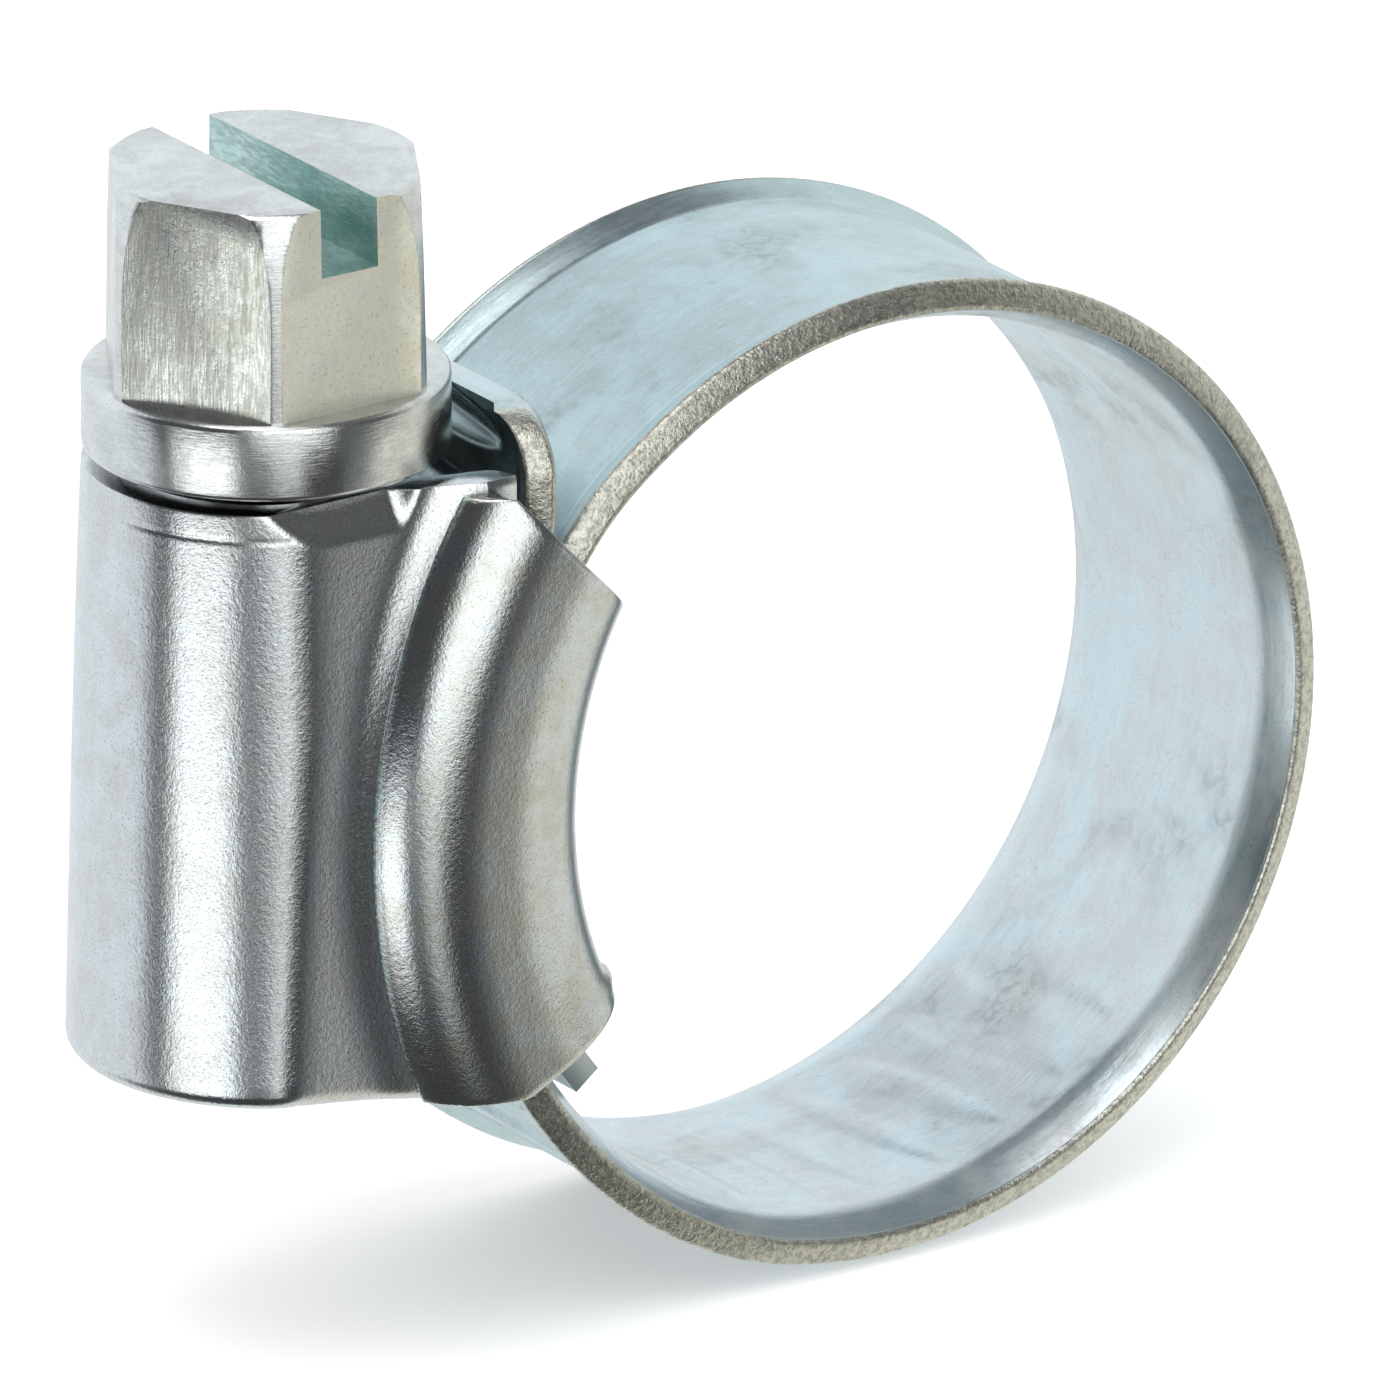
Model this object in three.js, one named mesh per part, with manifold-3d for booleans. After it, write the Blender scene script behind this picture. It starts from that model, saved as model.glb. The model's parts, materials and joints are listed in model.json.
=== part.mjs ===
// Worm-drive hose clip with a closed pressed barrel, shown fully open.
// Millimetres. The origin is the centre of the hose, Y runs along the hose and Z along the screw,
// whose head is up. The barrel is on the -X side of the ring.
// The band is one strip of steel. It bends as the clip closes, so it is made as short links:
// the fixed end and six links after it, and the threaded tail with two links before it.
import * as THREE from "three";
import { mergeVertices } from "three/addons/utils/BufferGeometryUtils.js";
import Module from "manifold-3d";

const wasm = await Module();
wasm.setup();

// ---- Driving dimensions ----
const GAP = 0.3; // clearance between pieces that touch or slide
const SHEET = 0.75; // pressed steel of the barrel and the saddle
const BAND_THICKNESS = 0.75;
const BAND_WIDTH = 9.0;
const FLARE_WIDTH = 0.9; // rolled edge of the band, measured across its width
const FLARE_RISE = 0.45;
const RING_RADIUS = 11.0; // to the middle of the band's thickness
const PATH_STEP = 1.25; // the threaded tail slides on an arc this much larger than the ring
const PATH_CENTRE = 0.93; // X and Z of that arc's centre
const LEAD = 1.85; // screw travel in one turn
const THREAD_RADIUS = 2.8;
const THREAD_DEPTH = 0.75;
const THREAD_BITE = 0.25; // how far the thread reaches into the band's grooves
const THREAD_CREST = 0.14; // half the crest's width, in turns
const THREAD_FLANK = 0.2; // width of a flank, in turns
const NECK_DEPTH = 1.0; // groove under the collar that the barrel's lugs hold
const NECK_LENGTH = 1.92; // from the thread's top to the barrel's top
const PILOT_LENGTH = 0.22; // plain end under the thread
const COLLAR_HEIGHT = 1.8;
const COLLAR_INSET = 0.02; // the collar is this much smaller than the barrel's top
const HEX_ACROSS_FLATS = 7.0;
const HEX_CORNER_RISE = 0.4; // from a flat out to the round bar that the head is cut from
const HEX_HEIGHT = 4.8;
const HEX_CHAMFER = 0.35;
const SLOT_WIDTH = 1.5;
const SLOT_DEPTH = 1.6;
const BARREL_TOP = 9.42;
const BARREL_BOTTOM = -4.67;
const BARREL_ROOM = 0.62; // between the thread and the inside of the barrel's top
const BARREL_FLARE = 0.48; // the barrel is this much larger at the bottom
const BARREL_CORNER = 0.35; // rounding round the closed bottom
const WALL_ROOM = 0.45; // between the thread and the walls that come down to the band
const FOOT_LIP = 0.5; // foot beyond each wall, which the saddle holds
const FOOT_SPREAD = 6; // degrees of foot above the saddle's web
const FOOT_DROP = 4; // degrees of foot below it
const LUG_HEIGHT = 0.6;
const LUG_REACH = 0.95;
const LUG_LENGTH = 1.2;
const SADDLE_TOP_ANGLE = 150; // degrees round the path's centre
const SADDLE_BOTTOM_ANGLE = 207;
const SADDLE_SIDE_SPREAD = 3; // degrees that its sides reach past the web
const SADDLE_BELOW_TOP = 0.22; // under the barrel's top
const SADDLE_BELOW_BOTTOM = 0.43;
const GROOVE_DEPTH = 0.5;
const GROOVE_WIDTH = 1.15;
const GROOVE_LENGTH = 4.8;
const FIRST_LINK_ANGLE = 137; // degrees round the hose's centre, where the band leaves the saddle
const UPPER_LINKS = 6;
const TAIL_GROOVES_BELOW = 7; // grooves from the contact point to the tail's lower end
const TAIL_GROOVES_ABOVE = 3;
const LINK_GROOVES = 7;
const TIP_BEND_ANGLE = 28; // degrees, the tail's tip turns away from the ring
const TIP_BEND_RADIUS = 3;
const TIP_LENGTH = 2.1;
const TIP_START_ANGLE = 150.5;
const TONGUE_HALF_WIDTH = 3.4; // the fixed end narrows to a tongue below the saddle
const TONGUE_DROP = 11; // degrees from the saddle's web to the tongue's end
const HOOK_HALF_WIDTH = 1.5; // middle of the tongue, bent in round the saddle's lower edge
const HOOK_REACH = 2.1;

// ---- Sizes that follow from them ----
const rad = THREE.MathUtils.degToRad;
const HALF_BAND = BAND_THICKNESS / 2;
const HALF_GAP = GAP / 2; // the band ends this far short of each place where two links meet
const PATH_RADIUS = RING_RADIUS + PATH_STEP;
const PATH_OUTER = PATH_RADIUS + HALF_BAND;
const FIXED_RADIUS = PATH_RADIUS - BAND_THICKNESS - GAP;
const SADDLE_OUTER = FIXED_RADIUS - HALF_BAND - GAP;
const SADDLE_INNER = SADDLE_OUTER - SHEET;
const FOOT_INNER = PATH_OUTER + FLARE_RISE + GAP;
const FOOT_OUTER = FOOT_INNER + SHEET;
const FOLD_INNER = FOOT_OUTER + GAP;
const FOLD_OUTER = FOLD_INNER + SHEET;
const ROOT_RADIUS = THREAD_RADIUS - THREAD_DEPTH;
const NECK_RADIUS = THREAD_RADIUS - NECK_DEPTH;
const WALL_INSIDE = THREAD_RADIUS + WALL_ROOM;
const WALL_OUTSIDE = WALL_INSIDE + SHEET;
const FOOT_HALF_WIDTH = Math.max(BAND_WIDTH / 2, WALL_OUTSIDE + FOOT_LIP);
const FOLD_EDGE = WALL_OUTSIDE + GAP;
const SADDLE_INSIDE = FOOT_HALF_WIDTH + GAP;
const SADDLE_OUTSIDE = SADDLE_INSIDE + SHEET;
const SADDLE_TOP = BARREL_TOP - SADDLE_BELOW_TOP;
const SADDLE_BOTTOM = BARREL_BOTTOM - SADDLE_BELOW_BOTTOM;
const HOOK_TOP = rad(SADDLE_BOTTOM_ANGLE) + GAP / SADDLE_INNER;
const HOOK_BOTTOM = HOOK_TOP + BAND_THICKNESS / SADDLE_INNER;
const TONGUE_END = rad(SADDLE_BOTTOM_ANGLE + TONGUE_DROP);
const SCREW_X = PATH_CENTRE - PATH_OUTER + THREAD_BITE - THREAD_RADIUS;
const BARREL_TOP_RADIUS = THREAD_RADIUS + BARREL_ROOM + SHEET;
const BARREL_BOTTOM_RADIUS = BARREL_TOP_RADIUS + BARREL_FLARE;
const BARREL_FLOOR = BARREL_BOTTOM + SHEET;
const COLLAR_RADIUS = BARREL_TOP_RADIUS - COLLAR_INSET;
const COLLAR_BOTTOM = BARREL_TOP + GAP;
const COLLAR_TOP = COLLAR_BOTTOM + COLLAR_HEIGHT;
const HEX_CORNER_RADIUS = HEX_ACROSS_FLATS / 2 + HEX_CORNER_RISE;
const HEAD_TOP = COLLAR_TOP + HEX_HEIGHT;
const THREAD_TOP = BARREL_TOP - NECK_LENGTH;
const THREAD_BOTTOM = BARREL_FLOOR + GAP + PILOT_LENGTH;
const PITCH_ANGLE = LEAD / PATH_RADIUS;
const TAIL_END_ANGLE = Math.PI + (TAIL_GROOVES_BELOW + 0.5) * PITCH_ANGLE;
const MEETING_ANGLE = angleOf(pointOnPath(TAIL_END_ANGLE)) + 2 * Math.PI;
const LINK_ANGLE = (LINK_GROOVES * LEAD) / RING_RADIUS;
const LOWER_LINK_END = MEETING_ANGLE + LINK_ANGLE;
const STEP_ANGLE = (rad(FIRST_LINK_ANGLE) + 2 * Math.PI - LOWER_LINK_END) / (UPPER_LINKS + 1);
const JOIN = 0.5; // how far solids of one piece run into each other before they are joined
const ROUND_SIDES = 40; // sides of the round solids
const BIG = 90; // larger than the whole clip

function pointOnPath(angle) {
  const x = PATH_CENTRE + PATH_RADIUS * Math.cos(angle);
  const z = PATH_CENTRE + PATH_RADIUS * Math.sin(angle);
  return new THREE.Vector3(x, 0, z);
}

function angleOf(point) {
  return Math.atan2(point.z, point.x);
}

// ---- Solids ----
function solid(geometry) {
  const bare = geometry.clone();
  bare.deleteAttribute("normal");
  bare.deleteAttribute("uv");
  const merged = mergeVertices(bare, 1e-4);
  const vertProperties = new Float32Array(merged.attributes.position.array);
  const triVerts = new Uint32Array(merged.index.array);
  return new wasm.Manifold(new wasm.Mesh({ numProp: 3, vertProperties, triVerts }));
}

const clip = new THREE.Group();

function addNode(name, shape, colour, roughness) {
  const made = shape.getMesh();
  const geometry = new THREE.BufferGeometry();
  geometry.setAttribute("position", new THREE.BufferAttribute(made.vertProperties, 3));
  geometry.setIndex(new THREE.BufferAttribute(made.triVerts, 1));
  geometry.computeVertexNormals();
  const material = new THREE.MeshStandardMaterial({ color: colour, roughness, metalness: 1 });
  const mesh = new THREE.Mesh(geometry, material);
  mesh.name = name;
  clip.add(mesh);
}

function box(x0, x1, y0, y1, z0, z1) {
  const geometry = new THREE.BoxGeometry(x1 - x0, y1 - y0, z1 - z0);
  geometry.translate((x0 + x1) / 2, (y0 + y1) / 2, (z0 + z1) / 2);
  return solid(geometry);
}

// Round solid about the screw's axis, from radius and height pairs that start and end on the axis.
function turned(profile) {
  const points = profile.map(([r, z]) => new THREE.Vector2(r, z));
  const geometry = new THREE.LatheGeometry(points, ROUND_SIDES);
  geometry.rotateX(Math.PI / 2);
  geometry.scale(1, -1, 1);
  const index = geometry.index.array;
  for (let i = 0; i < index.length; i += 3) {
    [index[i], index[i + 1]] = [index[i + 1], index[i]];
  }
  geometry.translate(SCREW_X, 0, 0);
  return solid(geometry);
}

// Part of a round disc about the path's centre, lying across the width between y0 and y1.
function arcPlate(inner, outer, from, to, y0, y1) {
  const shape = new THREE.Shape();
  shape.absarc(0, 0, outer, from, to, false);
  shape.absarc(0, 0, inner, to, from, true);
  const curveSegments = 10;
  const geometry = new THREE.ExtrudeGeometry(shape, { depth: y1 - y0, bevelEnabled: false, curveSegments });
  geometry.rotateX(Math.PI / 2);
  geometry.translate(PATH_CENTRE, y1, PATH_CENTRE);
  return solid(geometry);
}

function pathCylinder(radius) {
  const geometry = new THREE.CylinderGeometry(radius, radius, BIG, 96);
  geometry.translate(PATH_CENTRE, 0, PATH_CENTRE);
  return solid(geometry);
}

// ---- Band ----
// A strip's line in the XZ plane: pieces of steady bend, clockwise as seen from -Y.
class BendPath extends THREE.Curve {
  constructor(start, heading, pieces) {
    super();
    this.start = start;
    this.heading = heading;
    this.pieces = pieces;
    this.total = pieces.reduce((sum, piece) => sum + piece.length, 0);
  }

  getPoint(t, target = new THREE.Vector3()) {
    let left = t * this.total;
    let heading = this.heading;
    target.copy(this.start);
    for (const { length, bend } of this.pieces) {
      const run = Math.min(left, length);
      const turn = run * bend;
      const chord = Math.abs(turn) < 1e-9 ? run : (2 * Math.sin(turn / 2)) / bend;
      const direction = heading - turn / 2;
      target.x += chord * Math.cos(direction);
      target.z += chord * Math.sin(direction);
      heading -= turn;
      left -= run;
      if (left <= 0) break;
    }
    return target;
  }
}

// Arc of the band about a centre on the X = Z line, clockwise from one angle to a smaller one.
function arcPath(radius, centre, fromAngle, toAngle) {
  const x = centre + radius * Math.cos(fromAngle);
  const z = centre + radius * Math.sin(fromAngle);
  const length = radius * (fromAngle - toAngle);
  return new BendPath(new THREE.Vector3(x, 0, z), fromAngle - Math.PI / 2, [{ length, bend: 1 / radius }]);
}

// Cross-section of the band: flat in the middle, both edges rolled outwards.
function bandSection() {
  const edge = BAND_WIDTH / 2;
  const flat = edge - FLARE_WIDTH;
  const halfway = 0.55; // of the flare's width, where it has risen by its square
  const side = [
    [flat, 0],
    [flat + FLARE_WIDTH * halfway, FLARE_RISE * halfway ** 2],
    [edge, FLARE_RISE],
  ];
  const outer = side.map(([y, rise]) => [y, HALF_BAND + rise]);
  const inner = side.map(([y, rise]) => [y, rise - HALF_BAND]);
  const mirrored = (points) => points.map(([y, r]) => [-y, r]).reverse();
  const outline = [...mirrored(outer), ...outer, ...inner.reverse(), ...mirrored(inner)];
  return new THREE.Shape(outline.map(([y, r]) => new THREE.Vector2(-y, -r)));
}

function strip(path, steps) {
  return solid(new THREE.ExtrudeGeometry(bandSection(), { steps, extrudePath: path, bevelEnabled: false }));
}

// Slanted grooves that the worm runs in, at angles round a centre on the X = Z line.
function grooveCutter(radius, centre, angle) {
  const slant = Math.atan(LEAD / (2 * Math.PI * THREAD_RADIUS));
  const height = 2 * GROOVE_DEPTH;
  const geometry = new THREE.BoxGeometry(height, GROOVE_LENGTH, GROOVE_WIDTH);
  geometry.rotateX(slant);
  geometry.translate(-(radius + HALF_BAND), 0, 0);
  geometry.rotateY(Math.PI - angle);
  geometry.translate(centre, 0, centre);
  return solid(geometry);
}

function ringLink(fromAngle, toAngle, steps) {
  const trim = HALF_GAP / RING_RADIUS;
  return strip(arcPath(RING_RADIUS, 0, fromAngle - trim, toAngle + trim), steps);
}

function fixedEnd() {
  const hinge = rad(FIRST_LINK_ANGLE);
  const corner = new THREE.Vector3(RING_RADIUS * Math.cos(hinge), 0, RING_RADIUS * Math.sin(hinge));
  const top = Math.atan2(corner.z - PATH_CENTRE, corner.x - PATH_CENTRE) + HALF_GAP / FIXED_RADIUS;
  const arc = strip(arcPath(FIXED_RADIUS, PATH_CENTRE, TONGUE_END, top), 14);
  const y = HOOK_HALF_WIDTH;
  const hookInner = FIXED_RADIUS + HALF_BAND - HOOK_REACH;
  const hook = arcPlate(hookInner, FIXED_RADIUS, HOOK_TOP, HOOK_BOTTOM, -y, y);
  // The hook is bent in out of the tongue's middle, which leaves a fork below it.
  const pastEnd = TONGUE_END + rad(TONGUE_DROP);
  const fork = arcPlate(SADDLE_OUTER, PATH_RADIUS, HOOK_BOTTOM, pastEnd, -y, y);
  const cutZ = PATH_CENTRE + FIXED_RADIUS * Math.sin(rad(SADDLE_BOTTOM_ANGLE));
  const left = box(-BIG, 0, -BIG, -TONGUE_HALF_WIDTH, -BIG, cutZ);
  const right = box(-BIG, 0, TONGUE_HALF_WIDTH, BIG, -BIG, cutZ);
  return arc.subtract(fork).add(hook).subtract(left).subtract(right);
}

// The tail's line runs from its lower end to its tip, which turns away from the ring.
function tailPath() {
  const start = rad(TIP_START_ANGLE);
  const end = TAIL_END_ANGLE - HALF_GAP / PATH_RADIUS;
  const pieces = [
    { length: PATH_RADIUS * (end - start), bend: 1 / PATH_RADIUS },
    { length: TIP_BEND_RADIUS * rad(TIP_BEND_ANGLE), bend: -1 / TIP_BEND_RADIUS },
    { length: TIP_LENGTH, bend: 0 },
  ];
  return new BendPath(pointOnPath(end), end - Math.PI / 2, pieces);
}

function tail() {
  let shape = strip(tailPath(), 30);
  for (let i = -TAIL_GROOVES_ABOVE; i <= TAIL_GROOVES_BELOW; i += 1) {
    shape = shape.subtract(grooveCutter(PATH_RADIUS, PATH_CENTRE, Math.PI + i * PITCH_ANGLE));
  }
  return shape;
}

function lowerLink() {
  let shape = ringLink(LOWER_LINK_END, MEETING_ANGLE, 14);
  for (let i = 0; i < LINK_GROOVES; i += 1) {
    const angle = MEETING_ANGLE + ((i + 0.5) * LEAD) / RING_RADIUS;
    shape = shape.subtract(grooveCutter(RING_RADIUS, 0, angle));
  }
  return shape;
}

// ---- Screw ----
function worm() {
  const turnsSides = 20;
  const rowHeight = 0.25;
  const length = THREAD_TOP - THREAD_BOTTOM;
  const rows = Math.round(length / rowHeight);
  const geometry = new THREE.CylinderGeometry(1, 1, length, turnsSides, rows);
  geometry.rotateX(Math.PI / 2);
  geometry.translate(0, 0, (THREAD_TOP + THREAD_BOTTOM) / 2);
  const position = geometry.attributes.position;
  for (let i = 0; i < position.count; i += 1) {
    const x = position.getX(i);
    const y = position.getY(i);
    const z = position.getZ(i);
    const atEnd = z < THREAD_BOTTOM + rowHeight / 2 || z > THREAD_TOP - rowHeight / 2;
    const radius = atEnd ? ROOT_RADIUS : threadRadius(Math.atan2(y, x), z);
    const reach = Math.hypot(x, y) * radius;
    const angle = Math.atan2(y, x);
    position.setXYZ(i, SCREW_X + reach * Math.cos(angle), reach * Math.sin(angle), z);
  }
  return solid(geometry);
}

// Right-hand thread: a flat crest, sloping flanks and a plain root, with a crest facing the band.
function threadRadius(angle, z) {
  const turns = (z - PATH_CENTRE) / LEAD - angle / (2 * Math.PI);
  const away = Math.abs(turns - Math.round(turns));
  const height = THREE.MathUtils.clamp((THREAD_CREST + THREAD_FLANK - away) / THREAD_FLANK, 0, 1);
  return ROOT_RADIUS + (THREAD_RADIUS - ROOT_RADIUS) * height;
}

function wormScrew() {
  const shaft = turned([
    [0, THREAD_TOP - JOIN],
    [NECK_RADIUS, THREAD_TOP - JOIN],
    [NECK_RADIUS, COLLAR_BOTTOM],
    [COLLAR_RADIUS, COLLAR_BOTTOM],
    [COLLAR_RADIUS, COLLAR_TOP],
    [0, COLLAR_TOP],
  ]);
  const pilot = turned([
    [0, THREAD_BOTTOM - PILOT_LENGTH],
    [NECK_RADIUS, THREAD_BOTTOM - PILOT_LENGTH],
    [NECK_RADIUS, THREAD_BOTTOM + JOIN],
    [0, THREAD_BOTTOM + JOIN],
  ]);
  const hexRadius = HEX_ACROSS_FLATS / Math.sqrt(3);
  const hex = new THREE.CylinderGeometry(hexRadius, hexRadius, HEX_HEIGHT + JOIN, 6);
  hex.rotateX(Math.PI / 2);
  hex.rotateZ(Math.PI / 2); // the slot runs between two flats
  hex.translate(SCREW_X, 0, HEAD_TOP - (HEX_HEIGHT + JOIN) / 2);
  const bar = turned([
    [0, COLLAR_TOP - JOIN],
    [HEX_CORNER_RADIUS, COLLAR_TOP - JOIN],
    [HEX_CORNER_RADIUS, HEAD_TOP - HEX_CHAMFER],
    [HEX_CORNER_RADIUS - 2 * HEX_CHAMFER, HEAD_TOP],
    [0, HEAD_TOP],
  ]);
  const head = solid(hex).intersect(bar);
  const x = SCREW_X;
  const slot = box(x - SLOT_WIDTH / 2, x + SLOT_WIDTH / 2, -BIG, BIG, HEAD_TOP - SLOT_DEPTH, HEAD_TOP + 1);
  return worm().add(shaft).add(pilot).add(head.subtract(slot));
}

// ---- Barrel ----
function barrel() {
  const topIn = BARREL_TOP_RADIUS - SHEET;
  const bottomIn = BARREL_BOTTOM_RADIUS - SHEET;
  const corner = BARREL_CORNER;
  const outside = turned([
    [0, BARREL_BOTTOM],
    [BARREL_BOTTOM_RADIUS - corner, BARREL_BOTTOM],
    [BARREL_BOTTOM_RADIUS, BARREL_BOTTOM + corner],
    [BARREL_TOP_RADIUS, BARREL_TOP],
    [0, BARREL_TOP],
  ]);
  const hollow = turned([
    [0, BARREL_FLOOR],
    [bottomIn, BARREL_FLOOR],
    [topIn, BARREL_TOP + JOIN],
    [0, BARREL_TOP + JOIN],
  ]);
  const wallOut = WALL_OUTSIDE;
  const wallIn = WALL_INSIDE;
  const wallStart = SCREW_X - Math.sqrt(BARREL_TOP_RADIUS ** 2 - wallOut ** 2);
  const front = box(-BIG, wallStart, -BIG, BIG, -BIG, BIG);
  const walls = box(wallStart - GAP, PATH_CENTRE, -wallOut, wallOut, BARREL_BOTTOM, BARREL_TOP);
  const between = box(wallStart - GAP, BIG, -wallIn, wallIn, BARREL_FLOOR, BARREL_TOP + JOIN);
  const from = rad(SADDLE_TOP_ANGLE - FOOT_SPREAD);
  const to = rad(SADDLE_BOTTOM_ANGLE + FOOT_DROP);
  const foot = arcPlate(FOOT_INNER, FOOT_OUTER, from, to, -FOOT_HALF_WIDTH, FOOT_HALF_WIDTH);
  const height = box(-BIG, BIG, -BIG, BIG, BARREL_BOTTOM, BARREL_TOP);
  // Room for the tail's tip where it turns away from the ring.
  const mouthX = tailPath().getPoint(1).x - HALF_BAND - FLARE_RISE - 2 * GAP;
  const mouth = box(mouthX, BIG, -BIG, BIG, pointOnPath(rad(TIP_START_ANGLE)).z, BIG);
  const body = outside.intersect(front).add(walls).add(foot.intersect(height));
  const open = hollow.intersect(box(-BIG, SCREW_X, -BIG, BIG, -BIG, BIG)).add(between);
  let shape = body.subtract(open).subtract(pathCylinder(FOOT_INNER)).subtract(mouth);
  for (const side of [-1, 1]) {
    const y0 = side * (wallIn + SHEET / 2);
    const y1 = side * (wallIn - LUG_REACH);
    const z1 = BARREL_TOP - GAP;
    const x0 = SCREW_X - LUG_LENGTH / 2;
    const lug = box(x0, x0 + LUG_LENGTH, Math.min(y0, y1), Math.max(y0, y1), z1 - LUG_HEIGHT, z1);
    shape = shape.add(lug);
  }
  return shape;
}

// ---- Saddle ----
function saddle() {
  const top = rad(SADDLE_TOP_ANGLE);
  const bottom = rad(SADDLE_BOTTOM_ANGLE);
  const from = top - rad(SADDLE_SIDE_SPREAD);
  const to = bottom + rad(SADDLE_SIDE_SPREAD);
  const web = arcPlate(SADDLE_INNER, SADDLE_OUTER, top, bottom, -SADDLE_OUTSIDE, SADDLE_OUTSIDE);
  const height = box(-BIG, BIG, -BIG, BIG, SADDLE_BOTTOM, SADDLE_TOP);
  let shape = web;
  for (const side of [-1, 1]) {
    const y = (a, b) => [Math.min(side * a, side * b), Math.max(side * a, side * b)];
    const wall = arcPlate(SADDLE_INNER, FOLD_OUTER, from, to, ...y(SADDLE_INSIDE, SADDLE_OUTSIDE));
    const fold = arcPlate(FOLD_INNER, FOLD_OUTER, from, to, ...y(FOLD_EDGE, SADDLE_OUTSIDE));
    shape = shape.add(wall).add(fold);
  }
  return shape.intersect(height);
}

// ---- Assembly ----
const ZINC = 0xc3ccd0;
addNode("worm_screw", wormScrew(), 0xbfc3bd, 0.3);
addNode("screw_barrel", barrel(), ZINC, 0.22);
addNode("saddle", saddle(), ZINC, 0.25);
addNode("band_fixed_end", fixedEnd(), ZINC, 0.35);
addNode("band_tail", tail(), ZINC, 0.35);
addNode("band_lower_link_1", lowerLink(), ZINC, 0.35);
addNode("band_lower_link_2", ringLink(LOWER_LINK_END + STEP_ANGLE, LOWER_LINK_END, 5), ZINC, 0.35);
for (let i = 0; i < UPPER_LINKS; i += 1) {
  const from = rad(FIRST_LINK_ANGLE) - i * STEP_ANGLE;
  addNode(`band_upper_link_${i + 1}`, ringLink(from, from - STEP_ANGLE, 5), ZINC, 0.35);
}

export default clip;
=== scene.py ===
# %% [markdown]
# A worm-drive hose clip in Blender, one cell at a time.
# The engineering model is loaded first and never changed. Each of its plain solids is then replaced by a
# finished piece in the same place; a piece that lies on one moving body goes on that body, and a stretch of strip
# that spans two bodies is left on neither.
# Lengths in this file are millimetres while a piece is being shaped, and metres once it is done.

# %% Load the frame
import json
import math

import bmesh
import bpy
import numpy as np
from mathutils import Matrix, Vector


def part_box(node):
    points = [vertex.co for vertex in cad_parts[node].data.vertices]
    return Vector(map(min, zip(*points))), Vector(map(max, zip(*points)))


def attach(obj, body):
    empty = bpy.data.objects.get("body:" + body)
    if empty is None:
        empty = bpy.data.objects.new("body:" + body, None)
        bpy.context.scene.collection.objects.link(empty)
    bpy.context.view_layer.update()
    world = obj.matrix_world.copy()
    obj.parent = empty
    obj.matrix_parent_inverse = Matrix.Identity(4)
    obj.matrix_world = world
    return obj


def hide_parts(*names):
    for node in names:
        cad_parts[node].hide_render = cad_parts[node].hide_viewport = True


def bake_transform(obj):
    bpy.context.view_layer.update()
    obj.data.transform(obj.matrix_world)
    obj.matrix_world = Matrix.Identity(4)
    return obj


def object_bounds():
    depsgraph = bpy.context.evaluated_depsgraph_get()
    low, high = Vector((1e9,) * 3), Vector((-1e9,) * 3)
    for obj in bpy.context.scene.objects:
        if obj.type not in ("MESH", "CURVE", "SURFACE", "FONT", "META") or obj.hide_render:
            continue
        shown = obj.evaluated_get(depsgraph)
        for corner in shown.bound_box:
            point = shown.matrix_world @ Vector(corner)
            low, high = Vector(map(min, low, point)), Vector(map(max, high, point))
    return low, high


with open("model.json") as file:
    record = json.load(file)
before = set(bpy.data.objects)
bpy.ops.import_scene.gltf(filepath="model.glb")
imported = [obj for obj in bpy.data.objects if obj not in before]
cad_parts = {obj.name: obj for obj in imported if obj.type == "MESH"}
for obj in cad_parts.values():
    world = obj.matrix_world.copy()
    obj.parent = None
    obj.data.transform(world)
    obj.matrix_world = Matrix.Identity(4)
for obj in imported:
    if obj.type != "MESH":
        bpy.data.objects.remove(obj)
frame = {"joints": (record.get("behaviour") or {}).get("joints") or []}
cad_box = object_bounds()

# %% [markdown]
# The frame says where everything is. Joint places give the screw's axis, the centre of the arc that the
# threaded tail slides on, and the places where the strip bends. Boxes of the solids give the heights.

# %% Places read from the frame
MM = 0.001
joint = {j["name"]: j for j in frame["joints"]}


def low(node):
    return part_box(node)[0] / MM


def high(node):
    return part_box(node)[1] / MM


def hinge(name):
    x, _, z = joint[name]["pos_m"]
    return np.array([x, z]) / MM


SCREW_X = joint["screw_spin"]["pos_m"][0] / MM
PATH_CENTRE = hinge("band_travel")[0]
BARREL_TOP = high("screw_barrel").z
BARREL_BOTTOM = low("screw_barrel").z
HEAD_TOP = high("worm_screw").z
SADDLE_TOP = high("saddle").z
SADDLE_BOTTOM = low("saddle").z
SADDLE_HALF = high("saddle").y
BAND_HALF = high("band_tail").y
print("screw axis at x =", round(SCREW_X, 3), "mm, head top at z =", round(HEAD_TOP, 2), "mm")

# %% [markdown]
# The pressed pieces and the strip each keep one thickness everywhere. The ring, the arc of the fixed end and
# the arc of the tail are three circles: the strip follows one after another.

# %% Sizes of the strip and the sheet
SHEET = 0.75
BAND = 0.75
RING_RADIUS = 11.0
TAIL_RADIUS = 12.25
FIXED_RADIUS = 11.2
LEAD = 1.85
THREAD_RADIUS = 2.8
ROOT_RADIUS = 2.05

# %% [markdown]
# Most pieces start as rows of points, one row for each step along the piece. A helper turns the rows into
# quads, merges points that meet, turns the faces outwards and marks the crisp edges.

# %% Helpers that make meshes from rows of points
SHARP = math.radians(38)


def add_object(name, points, faces):
    mesh = bpy.data.meshes.new(name)
    mesh.from_pydata([tuple(p) for p in points], [], [tuple(int(i) for i in f) for f in faces])
    obj = bpy.data.objects.new(name, mesh)
    bpy.context.scene.collection.objects.link(obj)
    return obj


def grid_faces(rows, columns, wrap=False, offset=0):
    faces = []
    for i in range(rows - 1):
        for j in range(columns if wrap else columns - 1):
            k = (j + 1) % columns
            a, b = offset + i * columns, offset + (i + 1) * columns
            faces.append((a + j, a + k, b + k, b + j))
    return faces


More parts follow.
